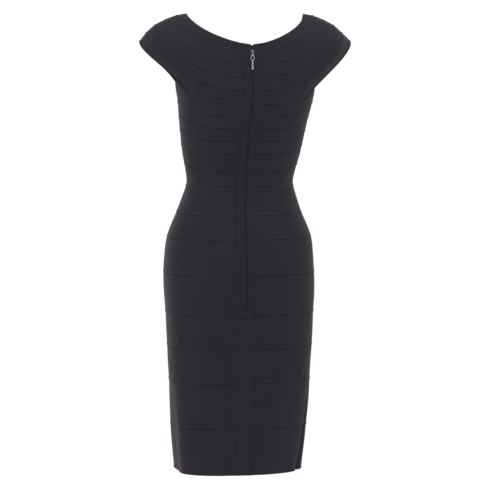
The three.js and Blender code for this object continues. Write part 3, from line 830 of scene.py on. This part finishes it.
# A zip tape's section: it lies under its strip from the chain outwards
TAPE_EDGE = 13
TAPE_UPPER = [(0.3, -2.35), (0.45, -2.1), (3, -2.05), (12.6, -2.05), (TAPE_EDGE, -2.3)]
TAPE_LOWER = [(12.8, -2.7), (0.45, -2.7)]
STRIP_FROM = 2.65
STRIP_GROOVES = [6.6, 13.7]
LOW_GROOVES = [1.8, 5.6]
TRIM = 0.15
TAPE_TRIM = 1.5

strips = {}
for label, sign in (("left", 1), ("right", -1)):
    strips["placket_strip_" + label] = centre_strip(
        "placket_knit_" + label,
        strip_profile(sign * STRIP_FROM, sign * STRIP_EDGE, STRIP_GROOVES),
        0, ZIP_END_ROW, 0, TRIM,
    )
    ring = [(sign * offset, lift) for offset, lift in TAPE_UPPER + TAPE_LOWER]
    strips["zip_tape_" + label] = centre_strip(
        "zip_cloth_" + label, ring if sign < 0 else ring[::-1], 0, ZIP_END_ROW, TAPE_TRIM, TRIM,
    )
both_grooves = LOW_GROOVES + [2 * STRIP_EDGE - at for at in LOW_GROOVES[::-1]]
low_profile = strip_profile(-STRIP_EDGE, STRIP_EDGE, both_grooves, both=True)
strips["centre_back_strip"] = centre_strip("centre_back_knit", low_profile, ZIP_END_ROW, HEM_ROW)


GROOVE_LIFT = 0.26


def topstitching(name, offsets, first, last):
    """Stitch rows in the strips' grooves, from one row of the wall to another."""
    runs = []
    for offset in offsets:
        path, out = centre_run(offset, first, last)
        runs.append((path + out * GROOVE_LIFT, out))
    return stitches(name, runs)


strip_sewing = {}
for label, sign in (("left", 1), ("right", -1)):
    offsets = [sign * (STRIP_FROM + at) for at in STRIP_GROOVES]
    sewing = topstitching("stitching_placket_" + label, offsets, 0, ZIP_END_ROW)
    strip_sewing["placket_strip_" + label] = sewing
offsets = [STRIP_EDGE - at for at in LOW_GROOVES] + [at - STRIP_EDGE for at in LOW_GROOVES]
strip_sewing["centre_back_strip"] = topstitching("stitching_centre_back", offsets, ZIP_END_ROW, HEM_ROW)


# The zip's teeth: two rows of loops that interlock over a woven core

TOOTH_PITCH = 1.3
TOOTH_SECTIONS = [
    (-0.8, 0.22, -0.1), (-0.45, 0.34, 0.02), (1.4, 0.35, 0.0), (1.9, 0.28, -0.2), (2.15, 0.14, -0.4),
]
TOOTH_SIDES = 8
TOOTH_LIFT = 0.1
CHAIN_TRIM = 3.0
CORE = [(-2.1, -0.5), (-1.9, -0.2), (1.9, -0.2), (2.1, -0.5), (2.5, -1.9), (-2.5, -1.9)]


def teeth():
    """Both rows of teeth, the right one half a pitch behind the left."""
    path, out = centre_run(0, 0, ZIP_END_ROW)
    lengths = run_lengths(path)
    places, ahead, normal = [], [], []
    for sign, start in ((1, 0), (-1, TOOTH_PITCH / 2)):
        at = np.arange(CHAIN_TRIM + start, lengths[-1] - TOOTH_PITCH, TOOTH_PITCH)
        centre = np.stack([np.interp(at, lengths, path[:, i]) for i in range(3)], -1)
        direction = unit(np.stack([np.interp(at, lengths, out[:, i]) for i in range(3)], -1))
        across = np.zeros_like(centre)
        across[:, 0] = sign
        across = unit(across - direction * (across * direction).sum(-1, keepdims=True))
        places.append(centre + direction * TOOTH_LIFT)
        ahead.append(across)
        normal.append(direction)
    placed = [np.concatenate(values) for values in (places, ahead, normal)]
    return many("zip_teeth", bead(TOOTH_SECTIONS, TOOTH_SIDES), *placed)


zip_core = centre_strip("zip_core", CORE, 0, ZIP_END_ROW, CHAIN_TRIM, TRIM)
zip_teeth = teeth()

# The tack over the end of the zip, held by a square of stitches
TACK_HALF = 11
TACK_ABOVE = 7
TACK_BELOW = 6
TACK_LOW = 1.1
TACK_HIGH = 2.2
TACK_STEPS = 10
TACK_ROUND = 0.4
SEWN_INSIDE = 1.3
SEWN_HALF = 9.5

# The dip of the tack's cloth at each end and the low ridge beside it: height and reach
END_DIP = (0.35, 0.6)
END_RIDGE = (0.12, 1.6, 0.4)


def tack():
    """The doubled cloth of the tack, rounded at its edges, and the square of stitches that holds it."""
    centre, out = centre_run(0, ZIP_END_ROW, ZIP_END_ROW)
    before, _ = centre_run(0, ZIP_END_ROW - 2, ZIP_END_ROW + 2)
    down = unit(before[-1] - before[0])
    across = unit(np.cross(down, out[0]))
    centre, out = centre[0], out[0]
    half_section = [(1, TACK_LOW), (1, TACK_HIGH - TACK_ROUND), (0.96, TACK_HIGH - TACK_ROUND / 4),
                    (0.88, TACK_HIGH)]
    section = [(-share, lift) for share, lift in half_section] + half_section[::-1]
    columns = []
    reaches = np.linspace(-TACK_ABOVE, TACK_BELOW, TACK_STEPS + 1)
    for reach in reaches:
        near_end = min(reach + TACK_ABOVE, TACK_BELOW - reach)
        dip = END_DIP[0] * math.exp(-near_end / END_DIP[1])
        dip -= END_RIDGE[0] * math.exp(-((near_end - END_RIDGE[1]) / END_RIDGE[2]) ** 2)
        columns.append([
            centre + down * reach + across * share * TACK_HALF + out * max(lift - max(dip, 0), TACK_LOW)
            for share, lift in section
        ])
    placed = np.array(columns).transpose(1, 0, 2)
    quads, ends = ring_faces(*placed.shape[:2])
    flat = np.stack(np.broadcast_arrays(
        reaches[None, :] * MM, np.array([share for share, _ in section])[:, None] * TACK_HALF * MM, 0.0,
    ), -1)
    piece = make_mesh("tack_knit", placed.reshape(-1, 3), quads[:, ::-1], [end[::-1] for end in ends],
                      flat.reshape(-1, 3))

    reach_ends = (SEWN_INSIDE - TACK_ABOVE, TACK_BELOW - SEWN_INSIDE)
    side_ends = (-SEWN_HALF, SEWN_HALF)
    sides = [[(reach, x) for x in side_ends] for reach in reach_ends]
    sides += [[(reach, x) for reach in reach_ends] for x in side_ends]
    runs = [
        (np.stack([centre + down * reach + across * x + out * TACK_HIGH for reach, x in side]),
         np.stack([out, out]))
        for side in sides
    ]
    return piece, stitches("stitching_tack", runs)


tack_piece, tack_sewing = tack()


# Slider and pull, drawn in millimetres in the frame of the hinge: x across, y down the zip, z out

ZIP_LEAN = math.radians(5.963)
HARDWARE = (
    Matrix.Translation(Vector(frame["joints"][0]["pos_m"]))
    @ Matrix((
        (1, 0, 0, 0),
        (0, math.sin(ZIP_LEAN), math.cos(ZIP_LEAN), 0),
        (0, -math.cos(ZIP_LEAN), math.sin(ZIP_LEAN), 0),
        (0, 0, 0, 1),
    ))
    @ Matrix.Scale(MM, 4)
)
ARC_STEPS = 28
CORNER_STEPS = 8
WELD_REACH = 0.004
SHARP_ANGLE = 40

# The slider's plate, wider at its upper end, and the corners of the rail on its left side
PLATE_TOP = -1.75
PLATE_THICK = 1.5
PLATE_BEVEL = 0.45
PLATE_LOW = 4.15
PLATE_HIGH = -12.35
PLATE_WIDE = 5.3
PLATE_NARROW = 3.8
PLATE_TURN = 3
RAIL = [(4.35, -8.95), (5.25, -9.15), (3.8, 3.65), (2.95, 3.55)]
RAIL_THICK = 1.7
RAIL_BEVEL = 0.2
RAIL_SUNK = 0.35

# The bridge from the side: its crown, the opening that the pull turns in, and the heel at its
# upper end
CROWN = 2.95
CROWN_TURN = 1.2
OPENING = 1.75
HEEL = -11.2
HEEL_TURN = -9
HEEL_INSIDE = -10
BRIDGE_THICK = 1.7
BRIDGE_BEVEL = 0.4

# The pull: its lean off the zip in degrees, the neck and tab by their half widths and distances from
# the hinge, the two circles of the eye and of its hole by place and radius, the collar and the panel
PULL_TILT = 5
PULL_THICK = 1.7
PULL_BEVEL = 0.5
NECK_HALF = 1.3
NECK_AT = 11.4
TAB_AT = 12.6
TAB_HALF = 1.6
TAB_END_HALF = 2.0
TAB_END = 29.7
TAB_TURN = 1.6
EYE = (2, 3), (6.9, 4.4)
EYE_HOLE = (2.8, 1.7), (6.9, 2.7)
COLLAR = [(-1.55, 11.9), (1.55, 11.9), (1.65, 14.0), (-1.65, 14.0)]
COLLAR_THICK = 2.3
PANEL = [(-0.95, 16.0), (0.95, 16.0), (1.3, 28.0), (-1.3, 28.0)]
PANEL_THICK = 2.1
PANEL_BEVEL = 0.3


def arc(centre, radius, start, end):
    turns = np.linspace(start, end, ARC_STEPS)
    return [(centre[0] + radius * math.cos(t), centre[1] + radius * math.sin(t)) for t in turns]


def corner(start, control, end):
    """A rounded corner, as points of a quadratic curve."""
    points = []
    for i in range(CORNER_STEPS + 1):
        t = i / CORNER_STEPS
        weighted = list(zip(((1 - t) ** 2, 2 * t * (1 - t), t * t), (start, control, end)))
        points.append(tuple(sum(w * p[axis] for w, p in weighted) for axis in range(2)))
    return points


def cut_out(name, loops, thick, bevel, place):
    """A solid cut from flat outlines, with rounded edges, as a mesh of the hardware's frame."""
    curve = bpy.data.curves.new(name, "CURVE")
    curve.dimensions = "2D"
    curve.fill_mode = "BOTH"
    curve.extrude = thick / 2 - bevel
    curve.bevel_depth = bevel
    curve.bevel_resolution = 3
    curve.offset = -bevel
    for loop in loops:
        spline = curve.splines.new("POLY")
        spline.points.add(len(loop) - 1)
        for point, (x, y) in zip(spline.points, loop):
            point.co = (x, y, 0, 1)
        spline.use_cyclic_u = True
    drawn = bpy.data.objects.new(name, curve)
    mesh = bpy.data.meshes.new_from_object(drawn)
    mesh.transform(place)
    bpy.data.objects.remove(drawn)
    bpy.data.curves.remove(curve)
    return mesh


def welded(name, meshes):
    """One piece from meshes of the hardware's frame."""
    made = bmesh.new()
    for mesh in meshes:
        made.from_mesh(mesh)
        bpy.data.meshes.remove(mesh)
    bmesh.ops.remove_doubles(made, verts=made.verts, dist=WELD_REACH)
    bmesh.ops.dissolve_degenerate(made, edges=made.edges, dist=WELD_REACH)
    bmesh.ops.recalc_face_normals(made, faces=made.faces)
    out = bpy.data.meshes.new(name)
    made.to_mesh(out)
    made.free()
    out.transform(HARDWARE)
    for polygon in out.polygons:
        polygon.use_smooth = True
    out.set_sharp_from_angle(angle=math.radians(SHARP_ANGLE))
    piece = bpy.data.objects.new(name, out)
    bpy.context.scene.collection.objects.link(piece)
    return piece


SIDEWAYS = Matrix(((0, 0, 1, 0), (1, 0, 0, 0), (0, 1, 0, 0), (0, 0, 0, 1)))


def slider():
    """The plate over the chain with a rail down each side, and the bridge that the pull hangs on."""
    wide, high = PLATE_WIDE, PLATE_HIGH
    turned = corner((wide / 2, high), (wide, high), (wide, high + PLATE_TURN))
    right = [*turned, (PLATE_NARROW, PLATE_LOW)]
    outline = [(-x, y) for x, y in right[::-1]] + right
    foot = PLATE_TOP - PLATE_THICK / 2
    plate = cut_out("plate", [outline], PLATE_THICK, PLATE_BEVEL, Matrix.Translation((0, 0, foot)))
    rails = []
    under = Matrix.Translation((0, 0, PLATE_TOP - PLATE_THICK - RAIL_SUNK))
    for sign in (1, -1):
        corners = [(sign * x, y) for x, y in RAIL]
        rails.append(cut_out("rail", [corners], RAIL_THICK, RAIL_BEVEL, under))
    arch = [(CROWN, foot), *corner((CROWN, CROWN_TURN), (CROWN, CROWN), (CROWN_TURN, CROWN)),
            *corner((HEEL_TURN, CROWN), (HEEL, CROWN), (HEEL, foot)),
            *corner((HEEL_INSIDE, foot), (HEEL_INSIDE, OPENING), (HEEL_TURN, OPENING)),
            (OPENING, OPENING), (OPENING, foot)]
    bridge = cut_out("bridge", [arch], BRIDGE_THICK, BRIDGE_BEVEL, SIDEWAYS)
    return welded("slider_body", [plate, *rails]), welded("slider_bridge", [bridge])


def teardrop(top, low, outward):
    """Both arcs of a teardrop, given as place and radius of its two circles."""
    lean = math.asin((low[1] - top[1]) / (low[0] - top[0]))
    if outward is None:
        return (arc((0, low[0]), low[1], -lean, math.pi + lean)
                + arc((0, top[0]), top[1], math.pi + lean, 2 * math.pi - lean))
    return (arc((0, low[0]), low[1], math.pi / 2 + outward, math.pi + lean)
            + arc((0, top[0]), top[1], math.pi + lean, 2 * math.pi - lean)
            + arc((0, low[0]), low[1], 2 * math.pi - lean, 2.5 * math.pi - outward))


def pull():
    """The pull with its eye, the collar below it and the raised panel of its tab."""
    end = TAB_END
    eye = teardrop(*EYE, math.asin(NECK_HALF / EYE[1][1]))
    hole = teardrop(*EYE_HOLE, None)
    rounded = corner((TAB_END_HALF, end - TAB_TURN), (TAB_END_HALF, end), (TAB_END_HALF - TAB_TURN, end))
    right = [(NECK_HALF, NECK_AT), (TAB_HALF, TAB_AT), *rounded]
    tab = right + [(-x, y) for x, y in right[::-1]]
    meshes = [
        cut_out("flat", [eye + tab, hole], PULL_THICK, PULL_BEVEL, Matrix.Identity(4)),
        cut_out("collar", [COLLAR], COLLAR_THICK, PULL_BEVEL, Matrix.Identity(4)),
        cut_out("panel", [PANEL], PANEL_THICK, PANEL_BEVEL, Matrix.Identity(4)),
    ]
    for mesh in meshes:
        mesh.transform(Matrix.Rotation(-math.radians(PULL_TILT), 4, "X"))
    return welded("pull", meshes)


slider_body, slider_bridge = slider()
pull_piece = pull()


# Materials

def fill(tree, socket, value):
    """Gives an input its value, or joins it to another node's output."""
    if isinstance(value, bpy.types.NodeSocket):
        tree.links.new(value, socket)
    else:
        socket.default_value = value


def add_node(tree, kind, settings=None, **inputs):
    """A node with its settings, and its inputs by name, or by number after the letter i."""
    made = tree.nodes.new(kind)
    for key, value in (settings or {}).items():
        setattr(made, key, value)
    for key, value in inputs.items():
        fill(tree, made.inputs[int(key[1:]) if key[1:].isdigit() else key.replace("_", " ")], value)
    return made


def math_node(tree, operation, a, b=0.0, c=0.0):
    return add_node(tree, "ShaderNodeMath", {"operation": operation}, i0=a, i1=b, i2=c).outputs[0]


def plus(tree, a, b):
    return math_node(tree, "ADD", a, b)


def times(tree, a, b):
    return math_node(tree, "MULTIPLY", a, b)


def half_wave(tree, value):
    """A row of rounded humps, one for each whole step of the value."""
    return math_node(tree, "SINE", times(tree, math_node(tree, "FRACT", value), math.pi))


def map_range(tree, value, low, high, to_low, to_high):
    return add_node(
        tree, "ShaderNodeMapRange", None,
        Value=value, From_Min=low, From_Max=high, To_Min=to_low, To_Max=to_high,
    ).outputs[0]


def mix_colour(tree, factor, a, b):
    """Colours are four numbers or an output."""
    made = tree.nodes.new("ShaderNodeMix")
    made.data_type = "RGBA"
    for index, value in ((0, factor), (6, a), (7, b)):
        fill(tree, made.inputs[index], value)
    return made.outputs[2]


def new_material(name):
    material = bpy.data.materials.new(name)
    material.use_nodes = True
    tree = material.node_tree
    tree.nodes.clear()
    shader = tree.nodes.new("ShaderNodeBsdfPrincipled")
    out = tree.nodes.new("ShaderNodeOutputMaterial")
    tree.links.new(shader.outputs[0], out.inputs[0])
    return material, tree, shader


def cloth_place(tree):
    """Distance along the cloth, distance down it, both in metres, and how proud it stands in millimetres."""
    read_cloth = add_node(tree, "ShaderNodeAttribute", {"attribute_name": "cloth"})
    split = add_node(tree, "ShaderNodeSeparateXYZ", None, Vector=read_cloth.outputs["Vector"])
    return split.outputs


def noise(tree, vector, scale, detail=2.0, roughness=0.5):
    return add_node(
        tree, "ShaderNodeTexNoise", None, Vector=vector, Scale=scale, Detail=detail, Roughness=roughness,
    ).outputs["Fac"]


def object_place(tree):
    return add_node(tree, "ShaderNodeTexCoord").outputs["Object"]


# The span that most of a noise's values lie in
NOISE_LOW = 0.3
NOISE_HIGH = 0.7


def spread_noise(tree, value, to_low, to_high):
    return map_range(tree, value, NOISE_LOW, NOISE_HIGH, to_low, to_high)


def set_surface(tree, shader, **values):
    """A shader's inputs, by their names with underscores."""
    for name, value in values.items():
        fill(tree, shader.inputs[name.replace("_", " ")], value)


def bump(tree, strength, distance, height):
    """A normal from a height, with its distance in metres."""
    return add_node(
        tree, "ShaderNodeBump", None, Strength=strength, Distance=distance, Height=height,
    ).outputs[0]


# Colours of each material. A pair is mixed by a noise or a weave, its first colour for low values
KNIT_DARK = (0.0085, 0.0068, 0.0105, 1)
KNIT_LIGHT = (0.0165, 0.0135, 0.0198, 1)
# The paler colour of the turned edges is edge wear together with a painted highlight on their crests
KNIT_EDGE_WEAR_AND_HIGHLIGHT = (0.022, 0.0185, 0.026, 1)
# The darker colour of the grooves is painted shade where the band above overhangs them
KNIT_GROOVE_SHADE = (0.004, 0.0033, 0.005, 1)
KNIT_SHEEN = (0.95, 0.84, 1, 1)
TAPE_COLOURS = (0.006, 0.0055, 0.007, 1), (0.017, 0.015, 0.019, 1)
THREAD_COLOURS = (0.008, 0.0066, 0.0095, 1), (0.021, 0.018, 0.024, 1)
TEETH_COLOURS = (0.005, 0.004, 0.0068, 1), (0.0115, 0.0093, 0.015, 1)
METAL_COLOURS = (0.24, 0.235, 0.275, 1), (0.36, 0.35, 0.4, 1)
ENAMEL_COLOURS = (0.012, 0.011, 0.013, 1), (0.4, 0.39, 0.42, 1)
FLOOR_COLOURS = (0.9, 0.9, 0.9, 1), (0.93, 0.93, 0.93, 1)

# Pitches of the weaves in metres, how often the streaks of uneven yarn change in a metre, and the
# brushed lines of the metal with what they add to its roughness
RIB_PITCH = 0.00135
LOOP_PITCH = 0.00115
WEAVE_PITCH = 0.0009
STRIPE_SHARE = 0.6
STREAKS_ALONG = 14.0
STREAKS_DOWN = 520.0
BRUSH_SCALE = (5200, 900, 260)
BRUSH_ROUGH = 0.08

# How the knit's tone and height follow its loops, streaks, mottle and fuzz, and where its turned edges
# take a paler colour of wear and painted highlight and its grooves a painted shade, by how proud the cloth
# stands in millimetres
LOOP_HEIGHT = (0.45, 0.55)
RELIEF_TONE = (0.45, 0.12)
STREAK_TONES = (-0.12, 0.2)
MOTTLE_TONES = (-0.1, 0.14)
FUZZ_TONES = (-0.12, 0.12)
FUZZ_HEIGHT = 0.5
EDGE_HIGHLIGHT_PROUD = (0.35, 1.05)
EDGE_HIGHLIGHT_SHARE = 0.3
GROOVE_SHADE_SUNK = (-0.1, -0.35)
GROOVE_SHADE_SHARE = 0.65

# The radius that the enamel is rubbed away within, in metres
EDGE_RADIUS = 0.0005


def knit_material():
    """Fine ribs along the band, each a row of small loops, with uneven yarn, worn turned edges with painted
    highlight and painted shade in the grooves.
    """
    material, tree, shader = new_material("knit")
    along, down, proud = cloth_place(tree)
    ribs = math_node(tree, "DIVIDE", down, RIB_PITCH)
    rib = half_wave(tree, ribs)
    rib_at = math_node(tree, "FRACT", ribs)
    slant = math_node(tree, "ABSOLUTE", math_node(tree, "SUBTRACT", rib_at, 0.5))
    loop = half_wave(tree, plus(tree, math_node(tree, "DIVIDE", along, LOOP_PITCH), slant))
    relief_high = times(tree, rib, math_node(tree, "MULTIPLY_ADD", loop, *LOOP_HEIGHT))

    streak_place = add_node(
        tree, "ShaderNodeCombineXYZ", None,
        X=times(tree, along, STREAKS_ALONG), Y=times(tree, down, STREAKS_DOWN),
    ).outputs[0]
    streak = noise(tree, streak_place, scale=1.0, detail=3.0)
    mottle = noise(tree, object_place(tree), scale=16.0, detail=4.0, roughness=0.6)
    fuzz = noise(tree, object_place(tree), scale=1400.0)

    tone = math_node(tree, "MULTIPLY_ADD", relief_high, *RELIEF_TONE)
    for value, tones in ((streak, STREAK_TONES), (mottle, MOTTLE_TONES), (fuzz, FUZZ_TONES)):
        tone = plus(tree, tone, spread_noise(tree, value, *tones))
    colour = mix_colour(tree, tone, KNIT_DARK, KNIT_LIGHT)
    # Paler colour on the proud crests of the turned edges: edge wear and a painted highlight
    colour = mix_colour(tree, map_range(tree, proud, *EDGE_HIGHLIGHT_PROUD, 0.0, EDGE_HIGHLIGHT_SHARE), colour, KNIT_EDGE_WEAR_AND_HIGHLIGHT)
    # Darker colour in the sunk grooves under the turned edges: painted shade
    colour = mix_colour(tree, map_range(tree, proud, *GROOVE_SHADE_SUNK, 0.0, GROOVE_SHADE_SHARE), colour, KNIT_GROOVE_SHADE)
    height = plus(tree, relief_high, times(tree, fuzz, FUZZ_HEIGHT))
    set_surface(
        tree, shader, Base_Color=colour, Roughness=spread_noise(tree, streak, 0.68, 0.82),
        Specular_IOR_Level=0.1, Sheen_Weight=0.075, Sheen_Roughness=0.5, Sheen_Tint=KNIT_SHEEN,
        Normal=bump(tree, 0.5, 0.00025, height),
    )
    return material


def tape_material():
    """A narrow herringbone weave."""
    material, tree, shader = new_material("zip_tape")
    along, across, _ = cloth_place(tree)
    slanted = plus(tree, along, math_node(tree, "ABSOLUTE", across))
    stripe = half_wave(tree, math_node(tree, "DIVIDE", slanted, WEAVE_PITCH))
    mottle = noise(tree, object_place(tree), scale=60.0, detail=3.0)
    tone = plus(tree, times(tree, stripe, STRIPE_SHARE), times(tree, mottle, 1 - STRIPE_SHARE))
    set_surface(
        tree, shader, Base_Color=mix_colour(tree, tone, *TAPE_COLOURS),
        Roughness=spread_noise(tree, mottle, 0.62, 0.78), Specular_IOR_Level=0.25, Sheen_Weight=0.08,
        Normal=bump(tree, 0.6, 0.0002, stripe),
    )
    return material


def thread_material():
    """Twisted sewing thread, a little glossier than the knit."""
    material, tree, shader = new_material("thread")
    twist = add_node(
        tree, "ShaderNodeTexWave", {"bands_direction": "DIAGONAL"},
        Vector=object_place(tree), Scale=900.0, Distortion=1.5, Detail=1.0,
    ).outputs["Fac"]
    set_surface(
        tree, shader, Base_Color=mix_colour(tree, twist, *THREAD_COLOURS),
        Roughness=map_range(tree, twist, 0.0, 1.0, 0.62, 0.48), Specular_IOR_Level=0.35,
        Normal=bump(tree, 0.4, 0.0001, twist),
    )
    return material


def teeth_material():
    """Dyed nylon, worn a little shiny on top."""
    material, tree, shader = new_material("zip_teeth")
    speck = noise(tree, object_place(tree), scale=800.0, detail=3.0)
    set_surface(
        tree, shader, Base_Color=mix_colour(tree, speck, *TEETH_COLOURS),
        Roughness=spread_noise(tree, speck, 0.5, 0.66), Specular_IOR_Level=0.22,
        Normal=bump(tree, 0.3, 0.0001, speck),
    )
    return material


def metal_material():
    """Plated metal with fine brushed lines, duller where it is handled."""
    material, tree, shader = new_material("zip_metal")
    place = object_place(tree)
    stretched = add_node(tree, "ShaderNodeMapping", None, Vector=place, Scale=BRUSH_SCALE).outputs[0]
    lines = noise(tree, stretched, scale=1.0, detail=3.0)
    worn = noise(tree, place, scale=420.0, detail=3.0)
    set_surface(
        tree, shader, Base_Color=mix_colour(tree, worn, *METAL_COLOURS), Metallic=1.0,
        Roughness=plus(tree, spread_noise(tree, worn, 0.16, 0.3), times(tree, lines, BRUSH_ROUGH)),
        Normal=bump(tree, 0.25, 0.00005, lines),
    )
    return material


def enamel_material():
    """Dark enamel on the slider's body, rubbed through to the metal along its edges."""
    material, tree, shader = new_material("zip_enamel")
    speck = noise(tree, object_place(tree), scale=900.0, detail=3.0)
    edge = add_node(tree, "ShaderNodeBevel", {"samples": 4}, Radius=EDGE_RADIUS).outputs[0]
    face = add_node(tree, "ShaderNodeNewGeometry").outputs["Normal"]
    turned = add_node(
        tree, "ShaderNodeVectorMath", {"operation": "DOT_PRODUCT"}, i0=edge, i1=face,
    ).outputs["Value"]
    rubbed = times(tree, map_range(tree, turned, 0.9, 0.6, 0.0, 1.0), speck)
    set_surface(
        tree, shader, Base_Color=mix_colour(tree, rubbed, *ENAMEL_COLOURS), Metallic=rubbed,
        Roughness=spread_noise(tree, speck, 0.3, 0.42),
    )
    return material


KNIT = knit_material()
TAPE = tape_material()
THREAD = thread_material()
TEETH = teeth_material()
METAL = metal_material()
ENAMEL = enamel_material()


def dress(piece, material, rides="dress", replaced=None):
    """Gives a piece its material and the body that it rides on, and hides the node that it stands for."""
    piece.data.materials.clear()
    piece.data.materials.append(material)
    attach(piece, rides)
    if replaced:
        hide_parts(replaced)


# Pieces of cloth. The width, length and area worked out for each band are not used
for wall, names in ((yoke, YOKE_NAMES), (body, BODY_NAMES)):
    for name in names:
        edges = (NECK_EDGE, NECK_INNER_HIGH) if name == "yoke_band_1" else (UPPER_EDGE, INNER_HIGH)
        piece, width, length, area = band_piece(wall, name, *edges)
        sewing = seam_stitches(wall, name)
        dress(piece, KNIT, replaced=name)
        dress(sewing, THREAD)

strip_length = run_lengths(centre_run(TAPE_EDGE, 0, ZIP_END_ROW)[0])[-1] * MM
low_length = run_lengths(centre_run(0, ZIP_END_ROW, HEM_ROW)[0])[-1] * MM
for label in ("left", "right"):
    node = "placket_strip_" + label
    dress(strips[node], KNIT, replaced=node)
    dress(strip_sewing[node], THREAD)
    tape = "zip_tape_" + label
    dress(strips[tape], TAPE, replaced=tape)

low_strip = strips["centre_back_strip"]
dress(low_strip, KNIT, replaced="centre_back_strip")
dress(strip_sewing["centre_back_strip"], THREAD)
dress(tack_piece, KNIT, replaced="placket_tack")
dress(tack_sewing, THREAD)
dress(zip_core, TAPE, replaced="zip_chain")
dress(zip_teeth, TEETH)
dress(slider_body, ENAMEL, replaced="zip_slider")
dress(slider_bridge, METAL)
dress(pull_piece, METAL, rides="pull", replaced="zip_pull")


# A pale floor that fades into a pale surround, and soft studio light

FLOOR_HEIGHT = -1.4
FLOOR_HALF = 12
FLOOR_ROUGH = 0.9
FLOOR_FADE = (1.9, 3.6)
SURROUND_STRENGTH = 1.02
DRESS_MIDDLE = (0, 0, -0.5)

# Lights: name, place, target, width, height and power
LIGHTS = [
    ("key", (1.2, 2.4, 1.7), DRESS_MIDDLE, 0.9, 0.9, 26),
    ("overhead", (0.1, 0.9, 1.5), (0, 0, -0.1), 1.4, 0.6, 12),
    ("left_strip", (2.6, 0.3, 0.1), DRESS_MIDDLE, 0.6, 2.0, 12),
    ("right_strip", (-2.6, 0.3, 0.1), DRESS_MIDDLE, 0.6, 2.0, 12),
]


def make_stage():
    """The floor, which fades out with distance from the dress."""
    mesh = bpy.data.meshes.new("floor")
    corners = [(-FLOOR_HALF, -FLOOR_HALF), (FLOOR_HALF, -FLOOR_HALF), (FLOOR_HALF, FLOOR_HALF),
               (-FLOOR_HALF, FLOOR_HALF)]
    mesh.from_pydata([(x, y, FLOOR_HEIGHT) for x, y in corners], [], [(0, 1, 2, 3)])
    floor = bpy.data.objects.new("floor", mesh)
    bpy.context.scene.collection.objects.link(floor)
    material, tree, shader = new_material("floor")
    place = add_node(tree, "ShaderNodeNewGeometry").outputs["Position"]
    far = add_node(tree, "ShaderNodeVectorMath", {"operation": "LENGTH"}, i0=place).outputs["Value"]
    speck = noise(tree, place, scale=9.0, detail=3.0)
    set_surface(
        tree, shader, Base_Color=mix_colour(tree, speck, *FLOOR_COLOURS), Roughness=FLOOR_ROUGH,
        Alpha=map_range(tree, far, *FLOOR_FADE, 1.0, 0.0),
    )
    mesh.materials.append(material)


def area_light(name, place, target, width, height, power):
    data = bpy.data.lights.new(name, "AREA")
    data.shape = "RECTANGLE"
    data.size = width
    data.size_y = height
    data.energy = power
    light = bpy.data.objects.new(name, data)
    light.location = place
    light.rotation_mode = "QUATERNION"
    light.rotation_quaternion = (Vector(target) - Vector(place)).to_track_quat("-Z", "Y")
    bpy.context.scene.collection.objects.link(light)


def make_light():
    world = bpy.data.worlds.new("surround")
    world.use_nodes = True
    background = world.node_tree.nodes["Background"]
    background.inputs["Color"].default_value = (1, 1, 1, 1)
    background.inputs["Strength"].default_value = SURROUND_STRENGTH
    bpy.context.scene.world = world
    for light in LIGHTS:
        area_light(*light)
    bpy.context.scene.view_settings.view_transform = "Standard"
    bpy.context.scene.view_settings.look = "None"


make_stage()
make_light()
